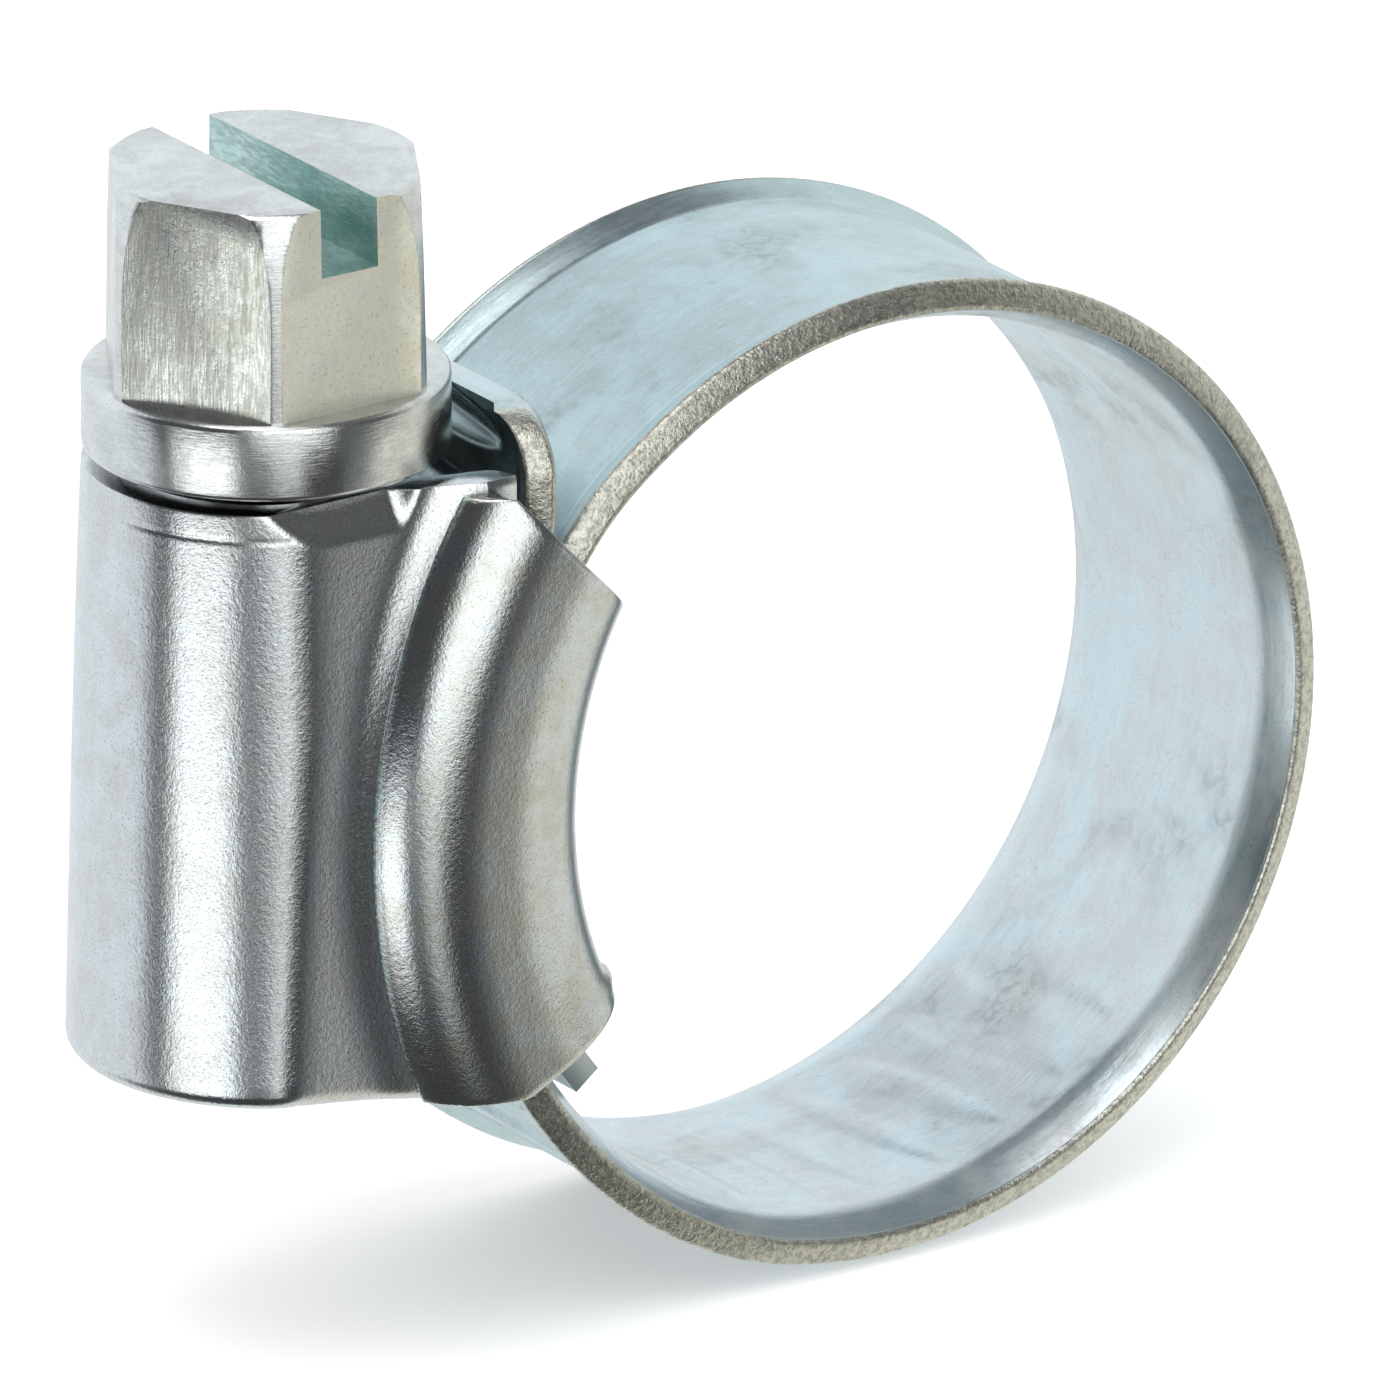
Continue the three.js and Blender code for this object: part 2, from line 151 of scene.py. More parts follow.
def tidy(obj, sharp=SHARP):
    mesh = bmesh.new()
    mesh.from_mesh(obj.data)
    bmesh.ops.remove_doubles(mesh, verts=mesh.verts, dist=1e-4)
    bmesh.ops.dissolve_degenerate(mesh, edges=mesh.edges, dist=1e-5)
    bmesh.ops.recalc_face_normals(mesh, faces=mesh.faces)
    if mesh.calc_volume(signed=True) < 0:
        bmesh.ops.reverse_faces(mesh, faces=mesh.faces)
    open_edges = sum(1 for e in mesh.edges if not e.is_manifold)
    mesh.to_mesh(obj.data)
    mesh.free()
    obj.data.shade_smooth()
    obj.data.set_sharp_from_angle(angle=sharp)
    print(obj.name, len(obj.data.polygons), "faces,", open_edges, "open edges")


def apply_modifiers(obj):
    evaluated = obj.evaluated_get(bpy.context.evaluated_depsgraph_get())
    made = bpy.data.meshes.new_from_object(evaluated)
    obj.modifiers.clear()
    obj.data = made


def boolean(obj, other, operation):
    modifier = obj.modifiers.new("cut", "BOOLEAN")
    modifier.operation = operation
    modifier.solver = "EXACT"
    modifier.object = other
    apply_modifiers(obj)
    bpy.data.objects.remove(other)


def soften(obj, width, angle):
    modifier = obj.modifiers.new("soften", "BEVEL")
    modifier.width = width
    modifier.segments = 2
    modifier.limit_method = "ANGLE"
    modifier.angle_limit = math.radians(angle)
    apply_modifiers(obj)


def lathe(name, profile, x=0.0, sides=128):
    turns = np.linspace(0, 2 * math.pi, sides, endpoint=False)
    points = [(x + r * math.cos(a), r * math.sin(a), z) for r, z in profile for a in turns]
    return add_object(name, points, grid_faces(len(profile), sides, wrap=True))


def to_metres(obj):
    obj.data.transform(Matrix.Scale(MM, 4))


# %% [markdown]
# Every finish here is zinc plate, yet each piece wears it differently: cloudy and pale blue on the strip,
# mirror-like on the drawn barrel, straw-coloured on the flats of the head.
# What they share is built once as node groups. Each group puts out a mask or a height, and the material
# decides what to do with it.

# %% Helpers for node trees
def wire(tree, value, socket):
    if isinstance(value, bpy.types.NodeSocket):
        tree.links.new(value, socket)
    else:
        socket.default_value = value


def maths(tree, operation, *values):
    node = tree.nodes.new("ShaderNodeMath")
    node.operation = operation
    for socket, value in zip(node.inputs, values):
        wire(tree, value, socket)
    return node.outputs[0]


def plus(tree, a, b):
    return maths(tree, "ADD", a, b)


def minus(tree, a, b):
    return maths(tree, "SUBTRACT", a, b)


def times(tree, a, b):
    return maths(tree, "MULTIPLY", a, b)


def over(tree, a, b):
    return maths(tree, "DIVIDE", a, b)


def scaled(tree, vector, factors):
    node = tree.nodes.new("ShaderNodeVectorMath")
    node.operation = "MULTIPLY"
    wire(tree, vector, node.inputs[0])
    wire(tree, factors, node.inputs[1])
    return node.outputs[0]


def parts(tree, vector):
    node = tree.nodes.new("ShaderNodeSeparateXYZ")
    wire(tree, vector, node.inputs[0])
    return node.outputs


def noise(tree, place, size, detail=4.0, roughness=0.6, distortion=0.0):
    node = tree.nodes.new("ShaderNodeTexNoise")
    wire(tree, place, node.inputs["Vector"])
    wire(tree, over(tree, 1.0, size), node.inputs["Scale"])
    node.inputs["Detail"].default_value = detail
    node.inputs["Roughness"].default_value = roughness
    node.inputs["Distortion"].default_value = distortion
    return node.outputs["Fac"]


def spread(tree, value, start, end):
    node = tree.nodes.new("ShaderNodeMapRange")
    node.interpolation_type = "SMOOTHSTEP"
    wire(tree, value, node.inputs["Value"])
    wire(tree, start, node.inputs["From Min"])
    wire(tree, end, node.inputs["From Max"])
    return node.outputs["Result"]


def blend_colour(tree, amount, first, second):
    node = tree.nodes.new("ShaderNodeMix")
    node.data_type = "RGBA"
    wire(tree, amount, node.inputs["Factor"])
    wire(tree, first, node.inputs[6])
    wire(tree, second, node.inputs[7])
    return node.outputs[2]


def new_group(name, inputs, outputs):
    tree = bpy.data.node_groups.new(name, "ShaderNodeTree")
    for socket, kind, value in inputs:
        made = tree.interface.new_socket(socket, in_out="INPUT", socket_type=kind)
        if value is not None:
            made.default_value = value
    for socket in outputs:
        tree.interface.new_socket(socket, in_out="OUTPUT", socket_type="NodeSocketFloat")
    return tree, tree.nodes.new("NodeGroupInput").outputs, tree.nodes.new("NodeGroupOutput").inputs


def use_group(tree, group, **values):
    node = tree.nodes.new("ShaderNodeGroup")
    node.node_tree = group
    for name, value in values.items():
        wire(tree, value, node.inputs[name.replace("_", " ")])
    return node.outputs


# %% [markdown]
# Clouds are the slow drift of the passivation from one tone to another. Two sizes of noise, one bent by
# its own distortion, look less even than one.

# %% Group: clouds
FLOAT, VECTOR = "NodeSocketFloat", "NodeSocketVector"
CLOUDS, ins, outs = new_group(
    "clouds", [("Place", VECTOR, None), ("Size", FLOAT, 2.0), ("Contrast", FLOAT, 0.2)], ["Amount"]
)
wide = noise(CLOUDS, ins["Place"], ins["Size"], 5.0, 0.65, 0.6)
fine = noise(CLOUDS, ins["Place"], times(CLOUDS, ins["Size"], 0.22), 4.0, 0.7)
both = plus(CLOUDS, times(CLOUDS, wide, 0.7), times(CLOUDS, fine, 0.3))
first = minus(CLOUDS, 0.5, ins["Contrast"])
last = plus(CLOUDS, 0.5, ins["Contrast"])
wire(CLOUDS, spread(CLOUDS, both, first, last), outs["Amount"])

# %% [markdown]
# Smudges are handling marks: soft grey patches made of many short dark scratches. A wide noise chooses
# where a patch is, and a finer one breaks it up.

# %% Group: smudges
SMUDGES, ins, outs = new_group(
    "smudges", [("Place", VECTOR, None), ("Size", FLOAT, 1.5), ("Cover", FLOAT, 0.5)], ["Amount", "Marks"]
)
patch = noise(SMUDGES, ins["Place"], ins["Size"], 3.0, 0.55, 0.9)
start = minus(SMUDGES, 0.85, times(SMUDGES, ins["Cover"], 0.5))
patch = spread(SMUDGES, patch, start, plus(SMUDGES, start, 0.22))
crumbs = noise(SMUDGES, ins["Place"], times(SMUDGES, ins["Size"], 0.12), 5.0, 0.75, 1.2)
crumbs = spread(SMUDGES, crumbs, 0.42, 0.62)
crumbs = plus(SMUDGES, 0.35, times(SMUDGES, crumbs, 0.65))
wire(SMUDGES, times(SMUDGES, patch, crumbs), outs["Amount"])
lines = noise(SMUDGES, ins["Place"], times(SMUDGES, ins["Size"], 0.3), 6.0, 0.6, 2.5)
lines = maths(SMUDGES, "ABSOLUTE", minus(SMUDGES, lines, 0.5))
lines = minus(SMUDGES, 1.0, spread(SMUDGES, lines, 0.002, 0.012))
where = spread(SMUDGES, noise(SMUDGES, ins["Place"], times(SMUDGES, ins["Size"], 0.7)), 0.5, 0.62)
wire(SMUDGES, times(SMUDGES, lines, where), outs["Marks"])

# %% [markdown]
# Grain is the fine sparkle of electroplated zinc. It gives a height for the bump and a mask for specks,
# because the low crystals look dark where the high ones catch the light.

# %% Group: grain
GRAIN, ins, outs = new_group(
    "grain", [("Place", VECTOR, None), ("Size", FLOAT, 0.08)], ["Height", "Specks"]
)
coarse = noise(GRAIN, ins["Place"], times(GRAIN, ins["Size"], 2.2), 3.0, 0.6)
crystals = noise(GRAIN, ins["Place"], ins["Size"], 2.0, 0.7)
height = plus(GRAIN, times(GRAIN, coarse, 0.6), times(GRAIN, crystals, 0.4))
wire(GRAIN, height, outs["Height"])
wire(GRAIN, spread(GRAIN, crystals, 0.56, 0.7), outs["Specks"])

# %% [markdown]
# Brush lines come from drawing, rolling and machining. The same noise is squeezed along one direction, so
# the caller chooses the direction by scaling the place that it passes in.

# %% Group: brush lines
BRUSH, ins, outs = new_group(
    "brush_lines", [("Place", VECTOR, None), ("Size", FLOAT, 0.12)], ["Height", "Amount"]
)
fine = noise(BRUSH, ins["Place"], ins["Size"], 3.0, 0.55)
wide = noise(BRUSH, ins["Place"], times(BRUSH, ins["Size"], 4.0), 2.0, 0.5)
both = plus(BRUSH, times(BRUSH, fine, 0.6), times(BRUSH, wide, 0.4))
wire(BRUSH, both, outs["Height"])
wire(BRUSH, spread(BRUSH, both, 0.4, 0.6), outs["Amount"])
print("node groups", [g.name for g in bpy.data.node_groups])


# %% [markdown]
# One function builds a zinc finish from these groups. The colours, the polish and the strength of each
# mark are its arguments, so eight finishes share one function.
# The shader itself stays in the material, with its constant values set on its own sockets.

# %% The zinc finish
def zinc(name, clear, cloudy, dark, polish, matt, place="object", cloud_size=2.0, contrast=0.14,
         smudge_size=1.6, cover=0.45, smudge=0.6, marks=0.0, grain_size=0.07, grain=0.25, specks=0.25,
         stretch=(1.0, 1.0, 1.0), lines=0.0, line_size=0.1, rim=None, outside=None, metal=1.0, streak=0.0):
    material = bpy.data.materials.new(name)
    material.use_nodes = True
    tree = material.node_tree
    shader = tree.nodes["Principled BSDF"]
    if place == "object":
        spot = scaled(tree, tree.nodes.new("ShaderNodeTexCoord").outputs["Object"], (1000.0, 1000.0, 1000.0))
    else:
        read = tree.nodes.new("ShaderNodeAttribute")
        read.attribute_name = place
        spot = read.outputs["Vector"]
    clouds = use_group(tree, CLOUDS, Place=spot, Size=cloud_size, Contrast=contrast)["Amount"]
    smudges = use_group(tree, SMUDGES, Place=spot, Size=smudge_size, Cover=cover)
    crystals = use_group(tree, GRAIN, Place=spot, Size=grain_size)
    brushed = use_group(tree, BRUSH, Place=scaled(tree, spot, stretch), Size=line_size)
    colour = blend_colour(tree, clouds, (*clear, 1), (*cloudy, 1))
    # The strip's outer face is mixed towards a teal: the passivation's own tint, darkened as painted shade.
    if outside:
        outer = spread(tree, parts(tree, spot)["Z"], 0.0, 0.2)
        colour = blend_colour(tree, times(tree, outer, 0.7), colour, (*outside, 1))
    grey = times(tree, smudges["Amount"], smudge)
    for mask, amount in ((smudges["Marks"], marks), (crystals["Specks"], specks), (brushed["Amount"], streak)):
        grey = maths(tree, "MAXIMUM", grey, times(tree, mask, amount))
    colour = blend_colour(tree, grey, colour, (*dark, 1))
    rough = plus(tree, polish, times(tree, clouds, matt - polish))
    rough = plus(tree, rough, times(tree, brushed["Amount"], lines * 0.15))
    height = times(tree, crystals["Height"], grain)
    height = plus(tree, height, times(tree, brushed["Height"], lines))
    if rim:
        read = tree.nodes.new("ShaderNodeAttribute")
        read.attribute_name = "rim"
        pits = times(tree, spread(tree, crystals["Height"], 0.42, 0.62), 0.5)
        colour = blend_colour(tree, read.outputs["Fac"], colour, blend_colour(tree, pits, (*rim, 1), (*dark, 1)))
        torn = times(tree, read.outputs["Fac"], times(tree, crystals["Height"], 1.6))
        height = plus(tree, height, torn)
    bump = tree.nodes.new("ShaderNodeBump")
    bump.inputs["Distance"].default_value = 0.02 * MM
    bump.inputs["Strength"].default_value = 1.0
    wire(tree, height, bump.inputs["Height"])
    wire(tree, colour, shader.inputs["Base Color"])
    wire(tree, rough, shader.inputs["Roughness"])
    wire(tree, bump.outputs["Normal"], shader.inputs["Normal"])
    shader.inputs["Metallic"].default_value = metal
    return material


BLUE, GREY, SHADE = (0.68, 0.79, 0.83), (0.76, 0.79, 0.80), (0.17, 0.17, 0.165)
# The teal below is the passivation's tint, darkened as painted shade for the strip's outer face.
SHADED_TEAL = (0.56, 0.72, 0.74)
strip_zinc = zinc("strip_zinc", BLUE, GREY, SHADE, 0.26, 0.38, place="strip", cloud_size=3.2, contrast=0.12,
                  smudge_size=4.2, cover=0.72, smudge=0.42, marks=0.3, specks=0.2, grain=0.22,
                  stretch=(0.12, 1.0, 1.0), lines=0.3, rim=(0.74, 0.73, 0.64), outside=SHADED_TEAL)
drawn_zinc = zinc("drawn_zinc", (0.73, 0.76, 0.78), (0.69, 0.69, 0.69), SHADE, 0.1, 0.16, cloud_size=1.4,
                  contrast=0.1, smudge_size=1.2, cover=0.45, smudge=0.2, specks=0.6, grain_size=0.05, grain=0.55,
                  stretch=(1.0, 1.0, 0.15), lines=0.08, rim=(0.6, 0.6, 0.56), streak=0.06)
saddle_zinc = zinc("saddle_zinc", (0.68, 0.71, 0.73), (0.62, 0.62, 0.57), SHADE, 0.11, 0.18, cloud_size=1.6,
                   contrast=0.1, smudge_size=1.2, cover=0.5, smudge=0.25, specks=0.6, grain_size=0.05,
                   grain=0.55, stretch=(1.0, 1.0, 0.3), lines=0.08, rim=(0.72, 0.86, 0.88), streak=0.06)
turned_zinc = zinc("turned_zinc", (0.80, 0.81, 0.80), (0.70, 0.71, 0.70), SHADE, 0.12, 0.24, cloud_size=1.2,
                   specks=0.4, grain_size=0.04, grain=0.22, stretch=(0.3, 0.3, 2.0), lines=0.3, streak=0.12)
# Two copies of the flats' finish: a bright one as painted highlight, then a darker straw one as painted shade.
brushed_zinc = zinc("brushed_zinc", (0.98, 0.98, 0.93), (0.90, 0.90, 0.80), SHADE, 0.22, 0.32, cloud_size=1.0,
                    contrast=0.1, smudge_size=0.9, cover=0.5, smudge=0.3, specks=0.75, grain_size=0.05,
                    grain=0.35, stretch=(1.0, 1.0, 0.1), lines=0.5, line_size=0.045, streak=0.3)
matt_zinc = zinc("matt_zinc", (0.92, 0.92, 0.80), (0.84, 0.83, 0.68), SHADE, 0.36, 0.48, cloud_size=1.1,
                 contrast=0.12, smudge_size=1.2, cover=0.5, smudge=0.3, specks=0.4, grain=0.35, metal=0.75,
                 stretch=(1.0, 1.0, 0.3), lines=0.2, line_size=0.07, streak=0.08)
sawn_zinc = zinc("sawn_zinc", (0.84, 0.86, 0.86), (0.78, 0.79, 0.77), SHADE, 0.34, 0.44, cloud_size=1.2,
                 contrast=0.1, smudge_size=1.0, cover=0.5, smudge=0.25, specks=0.3, grain=0.3)
slot_zinc = zinc("slot_zinc", (0.46, 0.66, 0.63), (0.68, 0.84, 0.81), SHADE, 0.3, 0.42, cloud_size=1.3,
                 specks=0.2, grain=0.3, stretch=(1.0, 0.4, 1.6), lines=0.8, line_size=0.12, streak=0.25)
print("materials", [m.name for m in bpy.data.materials if m.name.endswith("zinc")])

# %% [markdown]
# ## The strip
# The band is one strip of steel. Its line is written in polar form about the hose: first the arc of the
# fixed end, then the ring, then the arc of the threaded tail, with a smooth change from each to the next,
# and last the tip, which turns away from the ring.

# %% The strip's line
TONGUE_END = 218.0
TAIL_ARC_END = 150.5
TIP_TURN, TIP_RADIUS, TIP_LENGTH = 28.0, 3.0, 2.1
JOIN_TOP = (152.0, 124.0)
JOIN_BOTTOM = (-98.0, -122.0)


def smooth(value, start, end):
    t = np.clip((value - start) / (end - start), 0, 1)
    return t * t * (3 - 2 * t)


def from_hose(radius, degrees):
    """Distance from the hose's centre to a circle about the path's centre, in a direction."""
    angle = np.radians(degrees)
    toward = PATH_CENTRE * (np.cos(angle) + np.sin(angle))
    return toward + np.sqrt(radius**2 - 2 * PATH_CENTRE**2 + toward**2)


def direction_of(radius, own_degrees):
    """Direction from the hose's centre of a point on a circle about the path's centre."""
    angle = math.radians(own_degrees)
    x = PATH_CENTRE + radius * math.cos(angle)
    z = PATH_CENTRE + radius * math.sin(angle)
    return math.degrees(math.atan2(z, x)) % 360


def strip_line():
    turn = np.arange(direction_of(FIXED_RADIUS, TONGUE_END), direction_of(TAIL_RADIUS, TAIL_ARC_END) - 360, -0.25)
    upper, lower = smooth(turn, *JOIN_TOP), smooth(turn, *JOIN_BOTTOM)
    radius = (1 - upper) * from_hose(FIXED_RADIUS, turn) + upper * RING_RADIUS
    radius = (1 - lower) * radius + lower * from_hose(TAIL_RADIUS, turn)
    line = np.stack([radius * np.cos(np.radians(turn)), radius * np.sin(np.radians(turn))], 1)
    heading = math.atan2(*(line[-1] - line[-2])[::-1])
    step = 0.05
    bend = TIP_RADIUS * math.radians(TIP_TURN)
    tip = [line[-1]]
    for i in range(int((bend + TIP_LENGTH) / step)):
        heading += step / TIP_RADIUS if i * step < bend else 0
        tip.append(tip[-1] + step * np.array([math.cos(heading), math.sin(heading)]))
    return np.concatenate([line, np.array(tip[1:])])


LINE = strip_line()
ALONG = np.concatenate([[0], np.cumsum(np.linalg.norm(np.diff(LINE, axis=0), axis=1))])
STRIP_LENGTH = ALONG[-1]


def at(s):
    """Points of the strip's line and its outward directions, at lengths along it."""
    s = np.asarray(s, float)
    place = np.stack([np.interp(s, ALONG, LINE[:, i]) for i in (0, 1)], -1)
    ahead = np.stack([np.interp(s + 0.02, ALONG, LINE[:, i]) for i in (0, 1)], -1)
    behind = np.stack([np.interp(s - 0.02, ALONG, LINE[:, i]) for i in (0, 1)], -1)
    run = ahead - behind
    run /= np.linalg.norm(run, axis=-1, keepdims=True)
    return place, np.stack([-run[..., 1], run[..., 0]], -1)


def nearest(point, after=0.0, before=1e9):
    """Length along the strip of the place nearest to a point."""
    chosen = (ALONG >= after) & (ALONG <= before)
    gap = np.where(chosen, np.linalg.norm(LINE - np.asarray(point), axis=1), 1e9)
    return ALONG[int(np.argmin(gap))]


print("strip", round(STRIP_LENGTH, 2), "mm long")

# %% [markdown]
# The cross-section is a flat strip with both edges rolled outwards, so that it doesn't cut the hose.
# Its cut edge is square to the sheet and its corners are slightly rounded. Points that lie on the cut edge
# carry a mark, which the finish reads to show the torn, straw-coloured face.

# %% The strip's cross-section
ROLL_ANGLE = math.radians(26)
ROLL_RADIUS = 0.8
ROLL_LENGTH = 0.75
EDGE_ROUND = 0.14


def strip_section():
    run = ROLL_RADIUS * math.sin(ROLL_ANGLE) + ROLL_LENGTH * math.cos(ROLL_ANGLE)
    flat = BAND_HALF - run - BAND / 2 * math.sin(ROLL_ANGLE)
    middle = [(y, 0.0, 0.0) for y in np.linspace(0, flat, 14)]
    for a in np.linspace(0, ROLL_ANGLE, 6)[1:]:
        middle.append((flat + ROLL_RADIUS * math.sin(a), ROLL_RADIUS * (1 - math.cos(a)), a))
    y, n, a = middle[-1]
    for length in (0.2, ROLL_LENGTH - EDGE_ROUND):
        middle.append((y + length * math.cos(a), n + length * math.sin(a), a))
    outer = [(y - BAND / 2 * math.sin(a), n + BAND / 2 * math.cos(a), 0.0) for y, n, a in middle]
    inner = [(y + BAND / 2 * math.sin(a), n - BAND / 2 * math.cos(a), 0.0) for y, n, a in middle]
    along, up = np.array([math.cos(a), math.sin(a)]), np.array([-math.sin(a), math.cos(a)])
    end = np.array([y, n]) + ROLL_LENGTH * along
    rim = []
    for side in (1, -1):
        centre = end - EDGE_ROUND * along + side * (BAND / 2 - EDGE_ROUND) * up
        turn = np.linspace(0.25, 1, 4) * math.pi / 2
        arc = [centre + EDGE_ROUND * (math.sin(t) * along + side * math.cos(t) * up) for t in turn]
        rim += [(*p, 1.0) for p in (arc if side > 0 else arc[::-1])]
    half = outer + rim + inner[::-1]
    mirrored = [(-y, n, mark) for y, n, mark in half[::-1]]
    return np.array(half + mirrored[1:-1])


SECTION = strip_section()
print("section of", len(SECTION), "points, rises", round(SECTION[:, 1].max() - BAND / 2, 2), "mm at its edges")

# %% [markdown]
# A stretch of the strip is the section carried along the line. Each stretch closes itself with flat ends.
# The place on the flat strip (length, width, depth) is kept on every point, so the finish runs on from one
# stretch to the next and doesn't slide when the strip bends.

# %% A stretch of strip
STEP = 0.2
CORNER = 1.3


def stretch(name, start, end, step=STEP):
    stations = np.linspace(start, end, max(4, int((end - start) / step)))
    stations = np.insert(stations, [1, len(stations) - 1], [start + 0.01, end - 0.01])
    place, outward = at(stations)
    left = np.clip(CORNER - (STRIP_LENGTH - stations), 0, CORNER)
    narrow = 1 - (CORNER - np.sqrt(CORNER**2 - left**2)) / BAND_HALF
    y = SECTION[None, :, 0] * narrow[:, None]
    n = np.broadcast_to(SECTION[None, :, 1], y.shape)
    x, z = (place[:, None, i] + n * outward[:, None, i] for i in (0, 1))
    points = np.stack([x, y, z], -1)
    count = len(SECTION)
    faces = grid_faces(len(stations), count, wrap=True)
    faces += [range(count), range((len(stations) - 1) * count, len(stations) * count)]
    obj = add_object(name, points.reshape(-1, 3), faces)
    flat = np.stack([np.broadcast_to(stations[:, None], y.shape), y, n], -1)
    out3 = np.stack([outward[:, 0], np.zeros(len(stations)), outward[:, 1]], -1)
    out3 = np.broadcast_to(out3[:, None, :], flat.shape)
    for label, value in (("strip", flat), ("outward", out3)):
        attribute = obj.data.attributes.new(label, "FLOAT_VECTOR", "POINT")
        attribute.data.foreach_set("vector", np.ascontiguousarray(value, np.float32).ravel())
    mark = obj.data.attributes.new("rim", "FLOAT", "POINT")
    mark.data.foreach_set("value", np.tile(SECTION[:, 2], len(stations)).astype(np.float32))
    obj.data.materials.append(strip_zinc)
    return obj


# %% [markdown]
# The worm presses its thread into the strip. Each impression is a slanted lens, one lead apart, and shows
# as a faint rise on the inside. They repeat by a rule along the strip, so Geometry Nodes make them: the
# tree reads the place on the flat strip and moves each point in or out.

# %% Geometry Nodes: thread impressions
def geometry_tree(name, inputs):
    tree = bpy.data.node_groups.new(name, "GeometryNodeTree")
    tree.interface.new_socket("Geometry", in_out="OUTPUT", socket_type="NodeSocketGeometry")
    for socket, kind, value in inputs:
        made = tree.interface.new_socket(socket, in_out="INPUT", socket_type=kind)
        if value is not None:
            made.default_value = value
    return tree, tree.nodes.new("NodeGroupInput").outputs, tree.nodes.new("NodeGroupOutput").inputs


def named(tree, name):
    node = tree.nodes.new("GeometryNodeInputNamedAttribute")
    node.data_type = "FLOAT_VECTOR"
    node.inputs["Name"].default_value = name
    return node.outputs["Attribute"]


def finish_tree(tree, shape, material, out):
    realize = tree.nodes.new("GeometryNodeRealizeInstances")
    paint = tree.nodes.new("GeometryNodeSetMaterial")
    wire(tree, shape, realize.inputs[0])
    wire(tree, realize.outputs[0], paint.inputs["Geometry"])
    wire(tree, material, paint.inputs["Material"])
    wire(tree, paint.outputs[0], out)


def run_tree(obj, tree, **values):
    modifier = obj.modifiers.new(tree.name, "NODES")
    modifier.node_group = tree
    for item in tree.interface.items_tree:
        if item.in_out == "INPUT" and item.name.replace(" ", "_") in values:
            modifier[item.identifier] = values[item.name.replace(" ", "_")]
    apply_modifiers(obj)


IMPRESS, ins, outs = geometry_tree("thread_impressions", [
    ("Geometry", "NodeSocketGeometry", None), ("Contact", FLOAT, 0.0), ("Lead", FLOAT, LEAD),
    ("First", FLOAT, -5.0), ("Last", FLOAT, 14.0), ("Depth", FLOAT, 0.34), ("Rise", FLOAT, 0.07),
    ("Half Width", FLOAT, 0.62), ("Half Length", FLOAT, 2.7), ("Slant", FLOAT, 0.105),
    ("Material", "NodeSocketMaterial", None)])
spot = parts(IMPRESS, named(IMPRESS, "strip"))
back = minus(IMPRESS, ins["Contact"], spot["X"])
back = plus(IMPRESS, back, times(IMPRESS, spot["Y"], ins["Slant"]))
turns = over(IMPRESS, back, ins["Lead"])
whole = maths(IMPRESS, "ROUND", turns)
away = times(IMPRESS, maths(IMPRESS, "ABSOLUTE", minus(IMPRESS, turns, whole)), ins["Lead"])
inside = times(IMPRESS, maths(IMPRESS, "GREATER_THAN", plus(IMPRESS, whole, 0.5), ins["First"]),
               maths(IMPRESS, "LESS_THAN", minus(IMPRESS, whole, 0.5), ins["Last"]))
side = over(IMPRESS, spot["Y"], ins["Half Length"])
lens = maths(IMPRESS, "SQRT", maths(IMPRESS, "MAXIMUM", minus(IMPRESS, 1.0, times(IMPRESS, side, side)), 0.0))
width = times(IMPRESS, ins["Half Width"], maths(IMPRESS, "MAXIMUM", lens, 0.05))
groove = minus(IMPRESS, 1.0, spread(IMPRESS, away, times(IMPRESS, width, 0.15), width))
groove = times(IMPRESS, times(IMPRESS, groove, lens), inside)
outside = maths(IMPRESS, "GREATER_THAN", spot["Z"], 0.0)
depth = plus(IMPRESS, ins["Rise"], times(IMPRESS, outside, minus(IMPRESS, ins["Depth"], ins["Rise"])))
move = IMPRESS.nodes.new("ShaderNodeVectorMath")
move.operation = "SCALE"
wire(IMPRESS, named(IMPRESS, "outward"), move.inputs[0])
wire(IMPRESS, times(IMPRESS, times(IMPRESS, groove, depth), -1.0), move.inputs["Scale"])
shift = IMPRESS.nodes.new("GeometryNodeSetPosition")
wire(IMPRESS, ins["Geometry"], shift.inputs["Geometry"])
wire(IMPRESS, move.outputs[0], shift.inputs["Offset"])
finish_tree(IMPRESS, shift.outputs[0], ins["Material"], outs[0])

# %% [markdown]
# The strip has to bend as the clip closes, and the frame bends it at eight places. Here a stretch that spans
# two of the frame's bodies is only put in place and is tied to neither. At rest the ends of neighbouring
# stretches meet with no gap. At the bottom of the ring no joint ties one side to the other, so those two ends part
# a little as the clip closes.

# %% The strip, stretch by stretch
contact = nearest((PATH_CENTRE - TAIL_RADIUS, PATH_CENTRE), after=STRIP_LENGTH / 2)
upper_bends = [nearest(hinge(f"upper_bend_{i}"), before=STRIP_LENGTH * 0.6) for i in range(1, 7)]
lower_bends = [nearest(hinge(f"lower_bend_{i}"), after=STRIP_LENGTH * 0.3) for i in (2, 1)]
meeting = (upper_bends[-1] + (upper_bends[-1] - upper_bends[0]) / 5)
middles = [(a + b) / 2 for a, b in zip(upper_bends, upper_bends[1:] + [meeting])]
fixed_end = upper_bends[0] - (middles[0] - upper_bends[0])
lower_middle = (meeting + lower_bends[0]) / 2
lowest_middle = (lower_bends[0] + lower_bends[1]) / 2
tail_start = lower_bends[1] + 2.0
print("contact", round(contact, 2), "meeting", round(meeting, 2), "mm along the strip")


def pressed(obj):
    run_tree(obj, IMPRESS, Contact=float(contact), Material=strip_zinc)


def place_3d(s):
    point = at(s)[0] * MM
    return Vector((point[0], 0, point[1]))


def finish_stretch(obj, bodies, start, end, *nodes):
    tidy(obj)
    to_metres(obj)
    if len(bodies) == 2:
        place_3d(start)
        place_3d(end)
        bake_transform(obj)
    else:
        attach(obj, bodies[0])
    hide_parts(*nodes)


